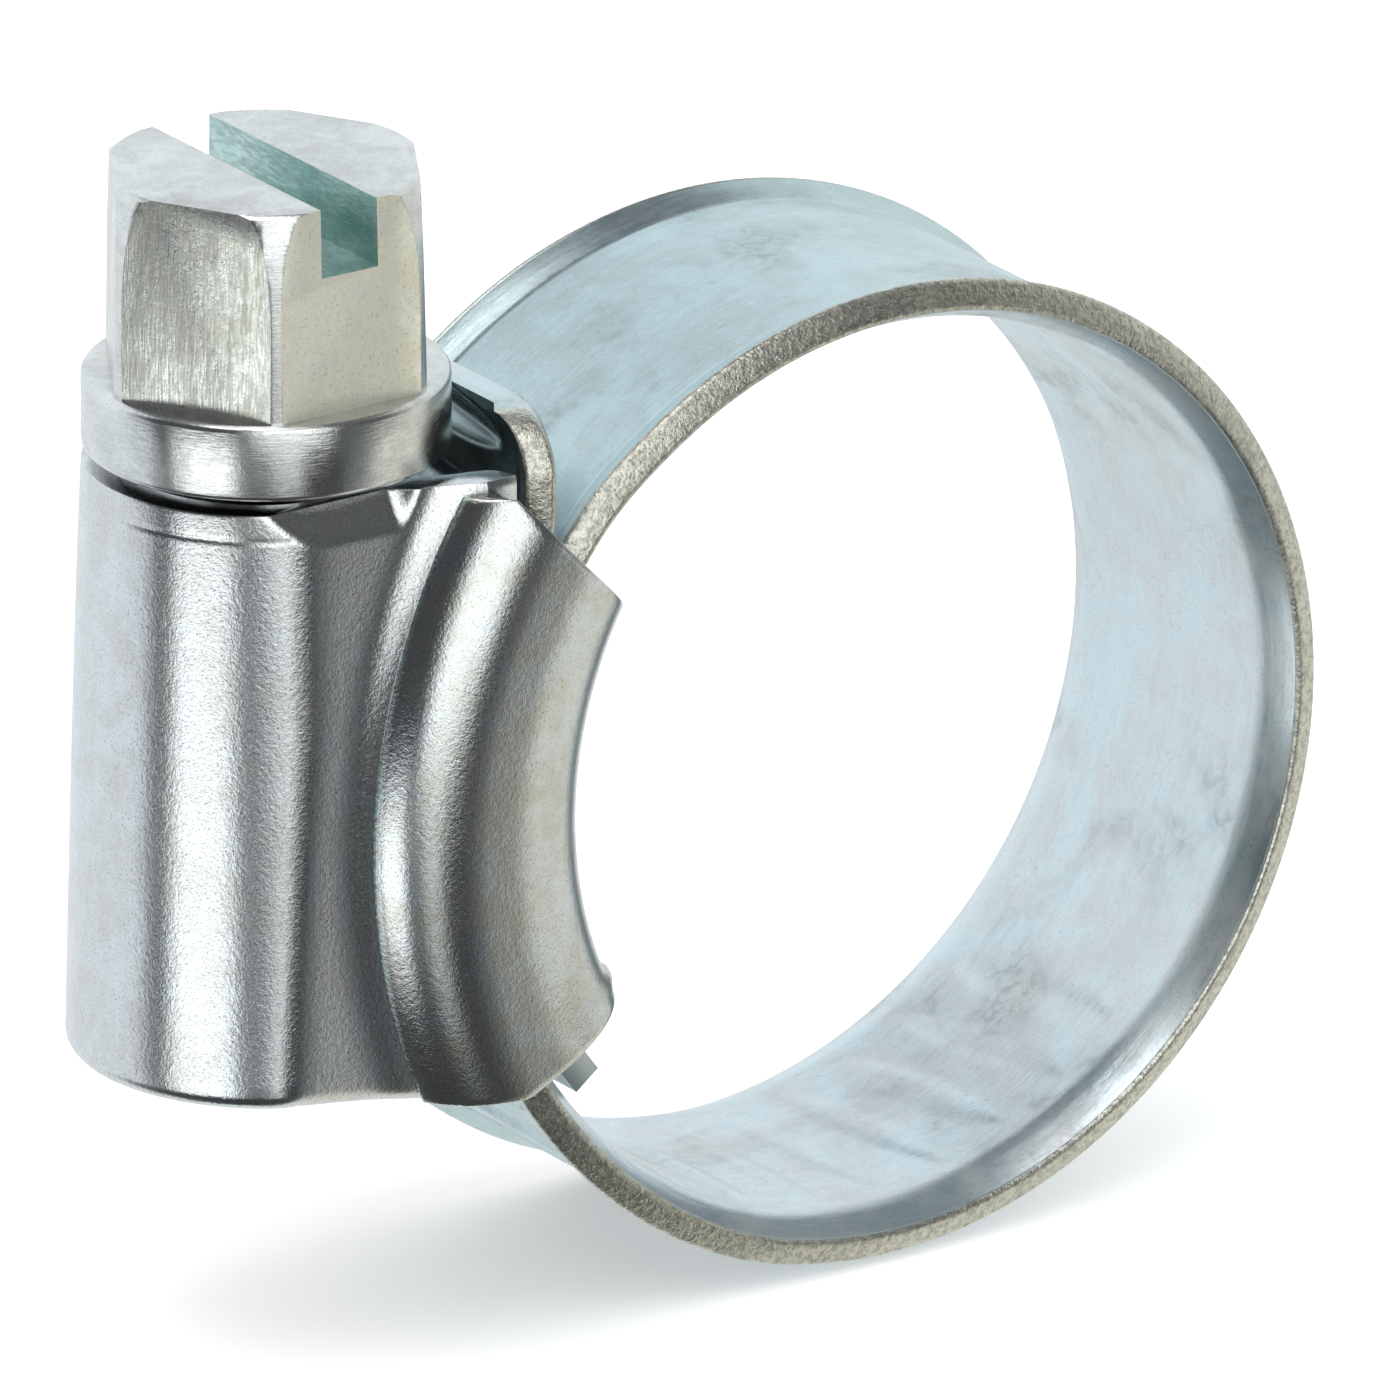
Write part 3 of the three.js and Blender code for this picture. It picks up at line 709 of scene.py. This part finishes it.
bodies = ["housing"] + [f"upper_link_{i}" for i in range(1, 7)]
cuts = [fixed_end] + middles
for i in range(6):
    obj = stretch(f"band_bend_{i + 1}", cuts[i], cuts[i + 1])
    finish_stretch(obj, bodies[i:i + 2], cuts[i], cuts[i + 1], f"band_upper_link_{i + 1}")
obj = stretch("band_upper_end", middles[-1], meeting)
finish_stretch(obj, ["upper_link_6"], middles[-1], meeting)
obj = stretch("band_lower_start", meeting, lower_middle)
finish_stretch(obj, ["lower_link_2"], meeting, lower_middle, "band_lower_link_2")
obj = stretch("band_lower_bend_2", lower_middle, lowest_middle, step=0.1)
pressed(obj)
finish_stretch(obj, ["lower_link_2", "lower_link_1"], lower_middle, lowest_middle, "band_lower_link_1")
obj = stretch("band_lower_bend_1", lowest_middle, tail_start, step=0.1)
pressed(obj)
finish_stretch(obj, ["lower_link_1", "tail"], lowest_middle, tail_start)
obj = stretch("threaded_tail", tail_start, STRIP_LENGTH, step=0.1)
pressed(obj)
finish_stretch(obj, ["tail"], tail_start, STRIP_LENGTH, "band_tail")

# %% [markdown]
# The fixed end lies against the saddle. Below the saddle it narrows to a forked tongue, whose middle is
# bent in to hook behind the saddle's lower edge. The fork and the shoulders are cut with plain blocks.

# %% The fixed end
def block(x0, x1, y0, y1, z0, z1):
    corners = [(x, y, z) for x in (x0, x1) for y in (y0, y1) for z in (z0, z1)]
    faces = [(0, 1, 3, 2), (4, 6, 7, 5), (0, 4, 5, 1), (2, 3, 7, 6), (0, 2, 6, 4), (1, 5, 7, 3)]
    obj = add_object("block", corners, faces)
    tidy(obj)
    return obj


def arc_block(inner, outer, start, end, half):
    rows = []
    for degrees in np.linspace(start, end, 8):
        a = math.radians(degrees)
        rows += [(PATH_CENTRE + r * math.cos(a), y, PATH_CENTRE + r * math.sin(a))
                 for r, y in ((inner, -half), (outer, -half), (outer, half), (inner, half))]
    obj = add_object("block", rows, grid_faces(8, 4, wrap=True) + [(0, 1, 2, 3), (28, 29, 30, 31)])
    tidy(obj)
    return obj


TONGUE_HALF = 3.4
HOOK_HALF = 1.5
HOOK_DEGREES = (208.8, 213.1)
SHOULDER_Z = PATH_CENTRE + FIXED_RADIUS * math.sin(math.radians(207))
obj = stretch("band_fixed_end_strip", 0.0, fixed_end, step=0.3)
tidy(obj)
boolean(obj, arc_block(10.4, 12.1, HOOK_DEGREES[1], 225, HOOK_HALF), "DIFFERENCE")
boolean(obj, arc_block(9.5, 11.3, *HOOK_DEGREES, HOOK_HALF - 0.02), "UNION")
for side in (-1, 1):
    edges = sorted((side * TONGUE_HALF, side * 9))
    boolean(obj, block(-20, 0, *edges, -20, SHOULDER_Z), "DIFFERENCE")
soften(obj, 0.06, 60)
finish_stretch(obj, ["housing"], 0, 0, "band_fixed_end")

# %% [markdown]
# ## The screw
# The shank is a worm: its radius at any angle and height follows one rule, so a Geometry Nodes tree bends
# a flat grid into it. Rows near the ends close on the axis, and merging the seam makes it one skin.

# %% Geometry Nodes: the worm
COLLAR_BOTTOM = BARREL_TOP + 0.3
COLLAR_TOP = COLLAR_BOTTOM + 1.8
COLLAR_RADIUS = 4.15
SHANK_BOTTOM = low("worm_screw").z
SHANK_TOP = COLLAR_BOTTOM + 0.4
THREAD_TOP = 7.5
THREAD_BOTTOM = -3.4
WORM, ins, outs = geometry_tree("worm", [
    ("Lead", FLOAT, LEAD), ("Crest Radius", FLOAT, THREAD_RADIUS), ("Root Radius", FLOAT, ROOT_RADIUS),
    ("Neck Radius", FLOAT, 1.8), ("Axis X", FLOAT, 0.0), ("Phase Height", FLOAT, 0.0), ("Bottom", FLOAT, 0.0),
    ("Top", FLOAT, 1.0), ("Thread Bottom", FLOAT, 0.0), ("Thread Top", FLOAT, 1.0),
    ("Rows", "NodeSocketInt", 120), ("Columns", "NodeSocketInt", 97), ("Material", "NodeSocketMaterial", None)])
grid = WORM.nodes.new("GeometryNodeMeshGrid")
grid.inputs["Size X"].default_value = 2 * math.pi
wire(WORM, minus(WORM, ins["Top"], ins["Bottom"]), grid.inputs["Size Y"])
wire(WORM, ins["Columns"], grid.inputs["Vertices X"])
wire(WORM, ins["Rows"], grid.inputs["Vertices Y"])
spot = parts(WORM, WORM.nodes.new("GeometryNodeInputPosition").outputs[0])
centre = times(WORM, plus(WORM, ins["Top"], ins["Bottom"]), 0.5)
height = plus(WORM, spot["Y"], centre)
turns = minus(WORM, over(WORM, minus(WORM, height, ins["Phase Height"]), ins["Lead"]),
              over(WORM, spot["X"], 2 * math.pi))
away = maths(WORM, "ABSOLUTE", minus(WORM, turns, maths(WORM, "ROUND", turns)))
thread = minus(WORM, 1.0, spread(WORM, away, 0.1, 0.36))
fade_in = spread(WORM, height, ins["Thread Bottom"], plus(WORM, ins["Thread Bottom"], 0.6))
fade_out = spread(WORM, height, minus(WORM, ins["Thread Top"], 0.6), ins["Thread Top"])
fade = times(WORM, fade_in, minus(WORM, 1.0, fade_out))
plain = plus(WORM, ins["Neck Radius"], times(WORM, fade, minus(WORM, ins["Root Radius"], ins["Neck Radius"])))
rise = times(WORM, times(WORM, thread, fade), minus(WORM, ins["Crest Radius"], ins["Root Radius"]))
ends = maths(WORM, "MINIMUM", maths(WORM, "GREATER_THAN", height, plus(WORM, ins["Bottom"], 0.01)),
             maths(WORM, "LESS_THAN", height, minus(WORM, ins["Top"], 0.01)))
radius = times(WORM, plus(WORM, plain, rise), ends)
combine = WORM.nodes.new("ShaderNodeCombineXYZ")
across = times(WORM, radius, maths(WORM, "COSINE", spot["X"]))
wire(WORM, plus(WORM, ins["Axis X"], across), combine.inputs[0])
wire(WORM, times(WORM, radius, maths(WORM, "SINE", spot["X"])), combine.inputs[1])
wire(WORM, height, combine.inputs[2])
shift = WORM.nodes.new("GeometryNodeSetPosition")
wire(WORM, grid.outputs["Mesh"], shift.inputs["Geometry"])
wire(WORM, combine.outputs[0], shift.inputs["Position"])
merge = WORM.nodes.new("GeometryNodeMergeByDistance")
merge.inputs["Distance"].default_value = 0.0005
wire(WORM, shift.outputs[0], merge.inputs["Geometry"])
finish_tree(WORM, merge.outputs[0], ins["Material"], outs[0])
shank = add_object("worm_screw_shank", [(0, 0, 0)], [])
run_tree(shank, WORM, Axis_X=SCREW_X, Phase_Height=PATH_CENTRE, Bottom=SHANK_BOTTOM, Top=SHANK_TOP,
         Thread_Bottom=THREAD_BOTTOM, Thread_Top=THREAD_TOP, Rows=150, Material=turned_zinc)
tidy(shank, math.radians(60))

# %% [markdown]
# The head is forged from a round bar and keeps a little of it at each corner, so it is a hexagonal prism
# and a turned bar, intersected. The bar narrows towards the top like a trumpet, which widens the strips at
# the corners. The slot is sawn right through, and the collar stays round.

# %% The head and the collar
HEX_HALF = 3.5
HEX_TAPER = 0.1
SLOT_HALF = 0.75
SLOT_DEPTH = 1.6


def hexagon(name, bottom, top):
    rows = []
    for z, half in ((bottom, HEX_HALF), (top, HEX_HALF - HEX_TAPER)):
        corner = half / math.cos(math.pi / 6)
        rows += [(SCREW_X + corner * math.cos(a), corner * math.sin(a), z) for a in np.arange(6) * math.pi / 3]
    return add_object(name, rows, grid_faces(2, 6, wrap=True) + [range(6), range(6, 12)])


head = hexagon("worm_screw_finished", COLLAR_TOP - 0.3, HEAD_TOP)
tidy(head)
share = np.linspace(0, 1, 14)
widths = 3.95 - 0.05 * share - 0.24 * share**5
BAR_FOOT = COLLAR_TOP - 0.4
BAR_LENGTH = HEAD_TOP - COLLAR_TOP + 0.32
profile = [(0, BAR_FOOT)] + [(w, BAR_FOOT + s * BAR_LENGTH) for w, s in zip(widths, share)]
profile += [(widths[-1] - 0.1, HEAD_TOP), (0, HEAD_TOP)]
bar = lathe("bar", profile, SCREW_X)
tidy(bar)
boolean(head, bar, "INTERSECT")
slot_cutter = block(SCREW_X - SLOT_HALF, SCREW_X + SLOT_HALF, -6, 6, HEAD_TOP - SLOT_DEPTH, HEAD_TOP + 1)
boolean(head, slot_cutter, "DIFFERENCE")
soften(head, 0.05, 28)
R, ROUND = COLLAR_RADIUS, 0.16
quarter = np.linspace(0, math.pi / 2, 5)
corner = [(R - ROUND + ROUND * math.sin(t), COLLAR_TOP - ROUND + ROUND * math.cos(t)) for t in quarter]
foot = [(R - ROUND + ROUND * math.cos(t), COLLAR_BOTTOM + ROUND - ROUND * math.sin(t)) for t in quarter]
collar = lathe("collar", [(0, COLLAR_TOP), *corner, *foot, (0, COLLAR_BOTTOM)], SCREW_X)
tidy(collar)
collar.data.materials.append(turned_zinc)
boolean(head, collar, "UNION")
boolean(head, shank, "UNION")
tidy(head, math.radians(30))


# %% [markdown]
# The head shows five finishes. Each face gets its own by where it is and which way it looks: slot walls
# keep a blue-green passivation, the flats are alike but one pair is painted dull and straw-toned as painted
# shade and the others brushed and bright as painted highlight, the top is sawn, and the rest is turned.

# %% Finishes on the screw
def paint_screw(obj):
    obj.data.materials.clear()
    for material in (turned_zinc, brushed_zinc, matt_zinc, sawn_zinc, slot_zinc):
        obj.data.materials.append(material)
    for face in obj.data.polygons:
        middle, normal = face.center, face.normal
        in_slot = abs(middle.x - SCREW_X) < SLOT_HALF + 0.01 and middle.z > HEAD_TOP - SLOT_DEPTH - 0.01
        around = math.degrees(math.atan2(normal.y, normal.x)) % 180
        on_flat = abs(normal.z) < 0.2 and abs(around % 60 - 30) < 3 and middle.z > COLLAR_TOP
        if in_slot and middle.z < HEAD_TOP - 0.02:
            face.material_index = 4
        elif on_flat:
            # Painted light: the flats facing ±Y take the darker copy as painted shade, the other flats the bright
            # copy as painted highlight.
            face.material_index = 2 if abs(around - 90) < 5 else 1
        elif middle.z > HEAD_TOP - 0.1 and normal.z > 0.8:
            face.material_index = 3


paint_screw(head)
to_metres(head)
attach(head, "screw")
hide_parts("worm_screw")

# %% [markdown]
# ## The barrel
# The barrel is one deep-drawn cup, cut open on the side of the band. Seen from above it is a horseshoe:
# a round front, two walls that come back to the band, and a foot turned out on each side.
# It is lofted from such outlines. An outer and an inner skin share the same rule, with the sheet's
# thickness between them, and the bottom closes on the line midway between the walls.

# %% The barrel's outline
BARREL_TOP_RADIUS = 4.17
BARREL_BOTTOM_RADIUS = 4.65
WALL_HALF = 4.12
FOOT_RADIUS = 14.125
FOOT_LIMIT = -11.2
FLARE_RUN = 0.55
FLARE_HALF = 4.29
FOOT_HALF = 4.5
FOLD_RADIUS = 15.175
OUTLINE_PASSES = 110


def barrel_radius(z):
    share = np.clip((BARREL_TOP - z) / (BARREL_TOP - BARREL_BOTTOM), 0, 1)
    return BARREL_TOP_RADIUS + (BARREL_BOTTOM_RADIUS - BARREL_TOP_RADIUS) * share**0.8


def foot_x(z):
    return min(FOOT_LIMIT, PATH_CENTRE - math.sqrt(FOOT_RADIUS**2 - (z - PATH_CENTRE) ** 2))


def fold_x(z):
    return PATH_CENTRE - math.sqrt(FOLD_RADIUS**2 - (z - PATH_CENTRE) ** 2)


def half_outline(z, inset):
    """From the foot's edge, along a wall, to the front of the barrel, as (x, distance from the middle)."""
    radius = barrel_radius(z) - inset
    wall = min(WALL_HALF - inset, radius - 0.28)
    foot, fold = foot_x(z) + inset, fold_x(z)
    leave = math.asin(min(0.995, wall / radius))
    start = SCREW_X - radius * math.cos(leave)
    under = [(foot, FOOT_HALF - 0.1), (foot, FOOT_HALF - inset), (fold + 0.5, FLARE_HALF - inset)]
    under += [(fold - 0.1, FLARE_HALF - inset), (max(fold - FLARE_RUN, start + 0.3), wall), (start, wall)]
    front = [(SCREW_X - radius * math.cos(a), radius * math.sin(a)) for a in np.linspace(leave, 0, 40)[1:]]
    return np.array(under + front)


def even(line, count):
    """The same line with its points evenly spaced."""
    reach = np.concatenate([[0], np.cumsum(np.linalg.norm(np.diff(line, axis=0), axis=1))])
    at_reach = np.linspace(0, reach[-1], count)
    return np.stack([np.interp(at_reach, reach, line[:, i]) for i in (0, 1)], 1)


def outline(z, inset=0.0):
    half = half_outline(z, inset)
    loop = even(np.concatenate([half, half[::-1][1:] * [1, -1]]), 361)
    for _ in range(OUTLINE_PASSES):
        loop[1:-1] = (loop[:-2] + 2 * loop[1:-1] + loop[2:]) / 4
    return loop


# %% [markdown]
# Each side of the barrel's mouth is pressed in to hold the screw's neck. The press leaves a flat facet that
# leans in towards the mouth. It is made by keeping every point inside a leaning plane, and where that plane
# runs out of the round front it leaves a slanted edge by itself.

# %% The barrel's two skins
PRESS_Z = BARREL_TOP - 1.05
PRESS_LEAN = 0.62
PRESS_END = -13.4
PRESS_RUN, PRESS_RISE = 1.3, 0.9
BACK_DROP = 0.14
LINE_DEPTH, LINE_DROP, LINE_WIDTH = 0.02, 0.6, 0.05


def forming_line(z):
    """Depth of the faint line that the drawing tool leaves round the barrel and the saddle."""
    return LINE_DEPTH * math.exp(-(((z - BARREL_TOP + LINE_DROP) / LINE_WIDTH) ** 2))


def soft_least(a, b, width):
    """The smaller of two numbers, with the change from one to the other rounded off."""
    h = np.clip(0.5 + 0.5 * (b - a) / width, 0, 1)
    return b * (1 - h) + a * h - width * h * (1 - h)


def pressed_mouth(loop, z):
    runs_out = PRESS_RISE * smooth(loop[:, 0], PRESS_END, PRESS_END + PRESS_RUN)
    plane = WALL_HALF - PRESS_LEAN * (z - PRESS_Z) + runs_out
    loop[:, 1] = np.sign(loop[:, 1]) * soft_least(np.abs(loop[:, 1]), plane, 0.1)
    return loop


def barrel_rows(inset):
    """Rows of points from the mouth, down the wall, round the corner and in to the middle line."""
    bottom = BARREL_BOTTOM + inset
    corner = 0.4 if inset == 0 else 0.15
    heights = [BARREL_TOP - 0.05 * i for i in range(26)]
    heights += list(np.linspace(heights[-1] - 0.15, bottom + corner, 46))
    rows = []
    for z in heights:
        loop = pressed_mouth(outline(z, inset), z)
        loop[:, 0] += forming_line(z) if inset == 0 else 0
        rows.append(np.column_stack([loop, np.full(len(loop), z)]))
    last = outline(bottom + corner, inset)
    middle = np.column_stack([np.clip(last[:, 0], SCREW_X, None), np.zeros(len(last))])
    inward = middle - last
    inward /= np.maximum(np.linalg.norm(inward, axis=1, keepdims=True), 1e-6)
    inward[[0, -1]] = [[0, -1], [0, 1]]
    for t in np.linspace(0, math.pi / 2, 6)[1:]:
        move = last + inward * corner * (1 - math.cos(t))
        rows.append(np.column_stack([move, np.full(len(last), bottom + corner * (1 - math.sin(t)))]))
    for share in (0.12, 0.3, 0.55, 0.8, 1.0):
        move = rows[len(heights) + 4][:, :2] * (1 - share) + middle * share
        rows.append(np.column_stack([move, np.full(len(last), bottom)]))
    return np.array(rows)


def drop_back(rows):
    """Lowers the bottom a little towards the band, where the cup was cut off aslant."""
    back = np.clip(rows[..., 0] + 16, 0, 4)
    rows[..., 2] -= BACK_DROP * back * smooth(-rows[..., 2], 0, -BARREL_BOTTOM)
    return rows


outer, inner = drop_back(barrel_rows(0.0)), drop_back(barrel_rows(SHEET))
count, columns = outer.shape[:2]
points = np.concatenate([outer.reshape(-1, 3), inner.reshape(-1, 3)])
skin = count * columns
faces = grid_faces(count, columns) + grid_faces(count, columns, offset=skin)
for j in range(columns - 1):
    faces.append((j, j + 1, skin + j + 1, skin + j))
for j in (0, columns - 1):
    faces += [(i * columns + j, (i + 1) * columns + j, skin + (i + 1) * columns + j, skin + i * columns + j)
              for i in range(count - 1)]
barrel = add_object("screw_barrel_finished", points, faces)
barrel.data.materials.append(drawn_zinc)
tidy(barrel)
soften(barrel, 0.09, 60)
tidy(barrel, math.radians(35))
to_metres(barrel)
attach(barrel, "housing")
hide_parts("screw_barrel")

# %% [markdown]
# ## The saddle
# The saddle carries the hose side of the band and wraps up both sides of the barrel, where its edges are
# rolled over the foot. Its section is a wide C with generous corners, and it is swept round the arc of the
# tail. Its ends are cut level outside and square to the arc inside.

# %% The saddle
WEB_RADIUS = 9.775
FOLD_EDGE = 4.3
FOLD_CENTRE, FOLD_HIGH = 12.95, 1.7
WEB_CENTRE, WEB_HIGH = 12.275, 1.5


def c_section(inset):
    """Half of the section, from the fold's edge to the web: (distance from the path's centre, width)."""
    start = math.asin((FOLD_EDGE - SADDLE_HALF + FOLD_HIGH) / FOLD_HIGH)
    fold_long = (FOLD_RADIUS - FOLD_CENTRE) / math.cos(start)
    web_long = WEB_CENTRE - WEB_RADIUS
    line, leaning = [], []
    for t in np.linspace(start, math.pi / 2, 16):
        line.append((FOLD_CENTRE + fold_long * math.cos(t), SADDLE_HALF - FOLD_HIGH * (1 - math.sin(t))))
        leaning.append((math.cos(t) / fold_long, math.sin(t) / FOLD_HIGH))
    for t in np.linspace(0, math.pi / 2, 18):
        line.append((WEB_CENTRE - web_long * math.sin(t), SADDLE_HALF - WEB_HIGH * (1 - math.cos(t))))
        leaning.append((-math.sin(t) / web_long, math.cos(t) / WEB_HIGH))
    for y in np.linspace(SADDLE_HALF - WEB_HIGH, 0, 8)[1:]:
        line.append((WEB_RADIUS, y))
        leaning.append((-1.0, 0.0))
    line, leaning = np.array(line), np.array(leaning)
    leaning /= np.linalg.norm(leaning, axis=1, keepdims=True)
    return line - inset * leaning


def end_angles(radius):
    level_top = 180 - math.degrees(math.asin(min(1, (SADDLE_TOP - PATH_CENTRE) / radius)))
    level_bottom = 180 + math.degrees(math.asin((PATH_CENTRE - SADDLE_BOTTOM) / radius))
    square_top = 149.5 - 1.13 * (radius - 10.6)
    return max(level_top, square_top), min(level_bottom, 207.0)


outside, inside = c_section(0.0), c_section(SHEET)
whole = np.concatenate([outside, (outside[::-1] * [1, -1])[1:], (inside * [1, -1]), inside[::-1][1:]])
SWEEP = 70
STAKE_DEPTH, STAKE_AT, STAKE_LONG, STAKE_Y, STAKE_WIDE, STAKE_LIMIT = 0.2, 204.3, 1.3, 3.9, 0.8, 11.2
rows = []
for share in np.linspace(0, 1, SWEEP):
    for radius, y in whole:
        top, bottom = end_angles(radius)
        degrees = top + (bottom - top) * share
        near = ((degrees - STAKE_AT) / STAKE_LONG) ** 2 + ((abs(y) - STAKE_Y) / STAKE_WIDE) ** 2
        r = radius - STAKE_DEPTH * math.exp(-near) * (radius < STAKE_LIMIT)
        a = math.radians(degrees)
        z = PATH_CENTRE + r * math.sin(a)
        rows.append((PATH_CENTRE + (r - forming_line(z)) * math.cos(a), y, z))
columns = len(whole)
faces = grid_faces(SWEEP, columns, wrap=True)
pairs = len(outside) * 2 - 1
for end in (0, (SWEEP - 1) * columns):
    faces += [(end + j, end + j + 1, end + columns - 2 - j, end + columns - 1 - j) for j in range(pairs - 1)]
saddle = add_object("saddle_finished", rows, faces)
fold_points = {0, pairs - 1, pairs, columns - 1}
marks = [1.0 if k % columns in fold_points else 0.0 for k in range(len(rows))]
saddle.data.attributes.new("rim", "FLOAT", "POINT").data.foreach_set("value", np.array(marks, np.float32))
saddle.data.materials.append(saddle_zinc)
tidy(saddle)
soften(saddle, 0.1, 50)
tidy(saddle, math.radians(35))
to_metres(saddle)
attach(saddle, "housing")
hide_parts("saddle")

# %% [markdown]
# ## The studio
# Polished zinc shows what stands round it, so the studio is a bright tent with dark gaps. The gaps give
# the dark upright bands between the highlights. They are painted on the world by compass direction.
# The floor is plain and pale, and it is kept out of reflections so that the tent shows below as well.

# %% Studio, floor and camera
# compass direction in degrees, brightness, tint from blue (0) to straw (1)
LEVEL = [(0, 0.85, 0.9), (45, 0.9, 0.4), (60, 0.94, 0.1), (158, 0.94, 0.1), (167, 0.12, 0.5), (175, 0.12, 0.5),
         (182, 1.8, 0.4), (213, 1.8, 0.4), (220, 0.22, 0.0), (238, 0.22, 0.0), (245, 0.75, 0.5), (256, 0.75, 0.5),
         (263, 0.07, 0.4), (284, 0.07, 0.3), (290, 0.16, 0.1), (302, 0.24, 0.2), (315, 0.85, 1.0), (360, 0.85, 0.9)]
RAISED = [(0, 0.85, 0.5), (60, 0.98, 0.1), (140, 0.98, 0.1), (158, 0.08, 0.0), (224, 0.08, 0.0), (236, 1.7, 0.4),
          (270, 1.6, 0.5), (280, 0.12, 0.4), (318, 0.12, 0.4), (338, 0.7, 0.8), (360, 0.85, 0.5)]
LOWERED = [(0, 0.85, 0.9), (60, 0.9, 0.4), (120, 0.9, 0.3), (145, 0.1, 0.3), (200, 0.06, 0.3), (290, 0.08, 0.3),
           (312, 0.8, 1.0), (360, 0.85, 0.9)]


def bands(tree, turn, stops):
    ramp = tree.nodes.new("ShaderNodeValToRGB")
    wire(tree, turn, ramp.inputs[0])
    elements = ramp.color_ramp.elements
    for place, _, _ in stops[1:-1]:
        elements.new(place / 360)
    for element, (place, bright, warm) in zip(elements, stops):
        element.position = place / 360
        element.color = (bright * (0.93 + 0.07 * warm) / 2, bright / 2, bright * (1.05 - 0.14 * warm) / 2, 1)
    return ramp.outputs[0]


def studio():
    world = bpy.data.worlds.new("studio")
    bpy.context.scene.world = world
    world.use_nodes = True
    tree = world.node_tree
    back = tree.nodes["Background"]
    toward = parts(tree, tree.nodes.new("ShaderNodeTexCoord").outputs["Generated"])
    turn = over(tree, maths(tree, "ARCTAN2", toward["Y"], toward["X"]), 2 * math.pi)
    turn = maths(tree, "FRACT", plus(tree, turn, 1.0))
    raised = spread(tree, toward["Z"], -0.31, -0.1)
    lowered = spread(tree, times(tree, toward["Z"], -1.0), 0.45, 0.66)
    colour = blend_colour(tree, raised, bands(tree, turn, LEVEL), bands(tree, turn, RAISED))
    colour = blend_colour(tree, lowered, colour, bands(tree, turn, LOWERED))
    colour = blend_colour(tree, spread(tree, toward["Z"], 0.66, 0.8), colour, (0.08, 0.08, 0.085, 1))
    path = tree.nodes.new("ShaderNodeLightPath").outputs
    plain = maths(tree, "MAXIMUM", path["Is Camera Ray"], path["Is Diffuse Ray"])
    colour = blend_colour(tree, plain, colour, (0.5, 0.5, 0.5, 1))
    wire(tree, colour, back.inputs["Color"])
    back.inputs["Strength"].default_value = 2.0


studio()
bpy.context.scene.view_settings.view_transform = "Standard"
FLOOR_HALF = 3.0
floor_z = cad_box[0].z / MM - 0.02
floor = add_object("floor", [(x, y, floor_z) for x, y in ((-1, -1), (1, -1), (1, 1), (-1, 1))], [(0, 1, 2, 3)])
for vertex in floor.data.vertices:
    vertex.co.x *= FLOOR_HALF / MM
    vertex.co.y *= FLOOR_HALF / MM
to_metres(floor)
paper = bpy.data.materials.new("floor_paper")
paper.use_nodes = True
shader = paper.node_tree.nodes["Principled BSDF"].inputs
shader["Base Color"].default_value = (0.95, 0.95, 0.95, 1)
shader["Roughness"].default_value = 0.9
shader["Emission Color"].default_value = (1, 1, 1, 1)
shader["Emission Strength"].default_value = 0.28
floor.data.materials.append(paper)
floor.visible_glossy = False

AZIMUTH, ELEVATION = math.radians(-34.24), math.radians(20.63)
AIM = Vector((-1.77, 1.42, 0.63)) * MM
DISTANCE = 574.3 * MM
level = math.cos(ELEVATION)
back = Vector((math.sin(AZIMUTH) * level, -math.cos(AZIMUTH) * level, math.sin(ELEVATION)))
camera = bpy.data.objects.new("camera", bpy.data.cameras.new("camera"))
bpy.context.scene.collection.objects.link(camera)
camera.location = AIM + back * DISTANCE
camera.rotation_mode = "QUATERNION"
camera.rotation_quaternion = (-back).to_track_quat("-Z", "Y")
camera.data.lens = 655.4
camera.data.sensor_width = 36
camera.data.clip_start, camera.data.clip_end = 0.01, 20
bpy.context.scene.camera = camera

lamp = bpy.data.objects.new("softbox", bpy.data.lights.new("softbox", "AREA"))
bpy.context.scene.collection.objects.link(lamp)
lamp.data.energy = 1.5
lamp.data.size = 0.5
lamp.location = (-0.2, -0.15, 0.7)
lamp.rotation_mode = "QUATERNION"
lamp.rotation_quaternion = Vector((0.2, 0.15, -0.7)).to_track_quat("-Z", "Y")
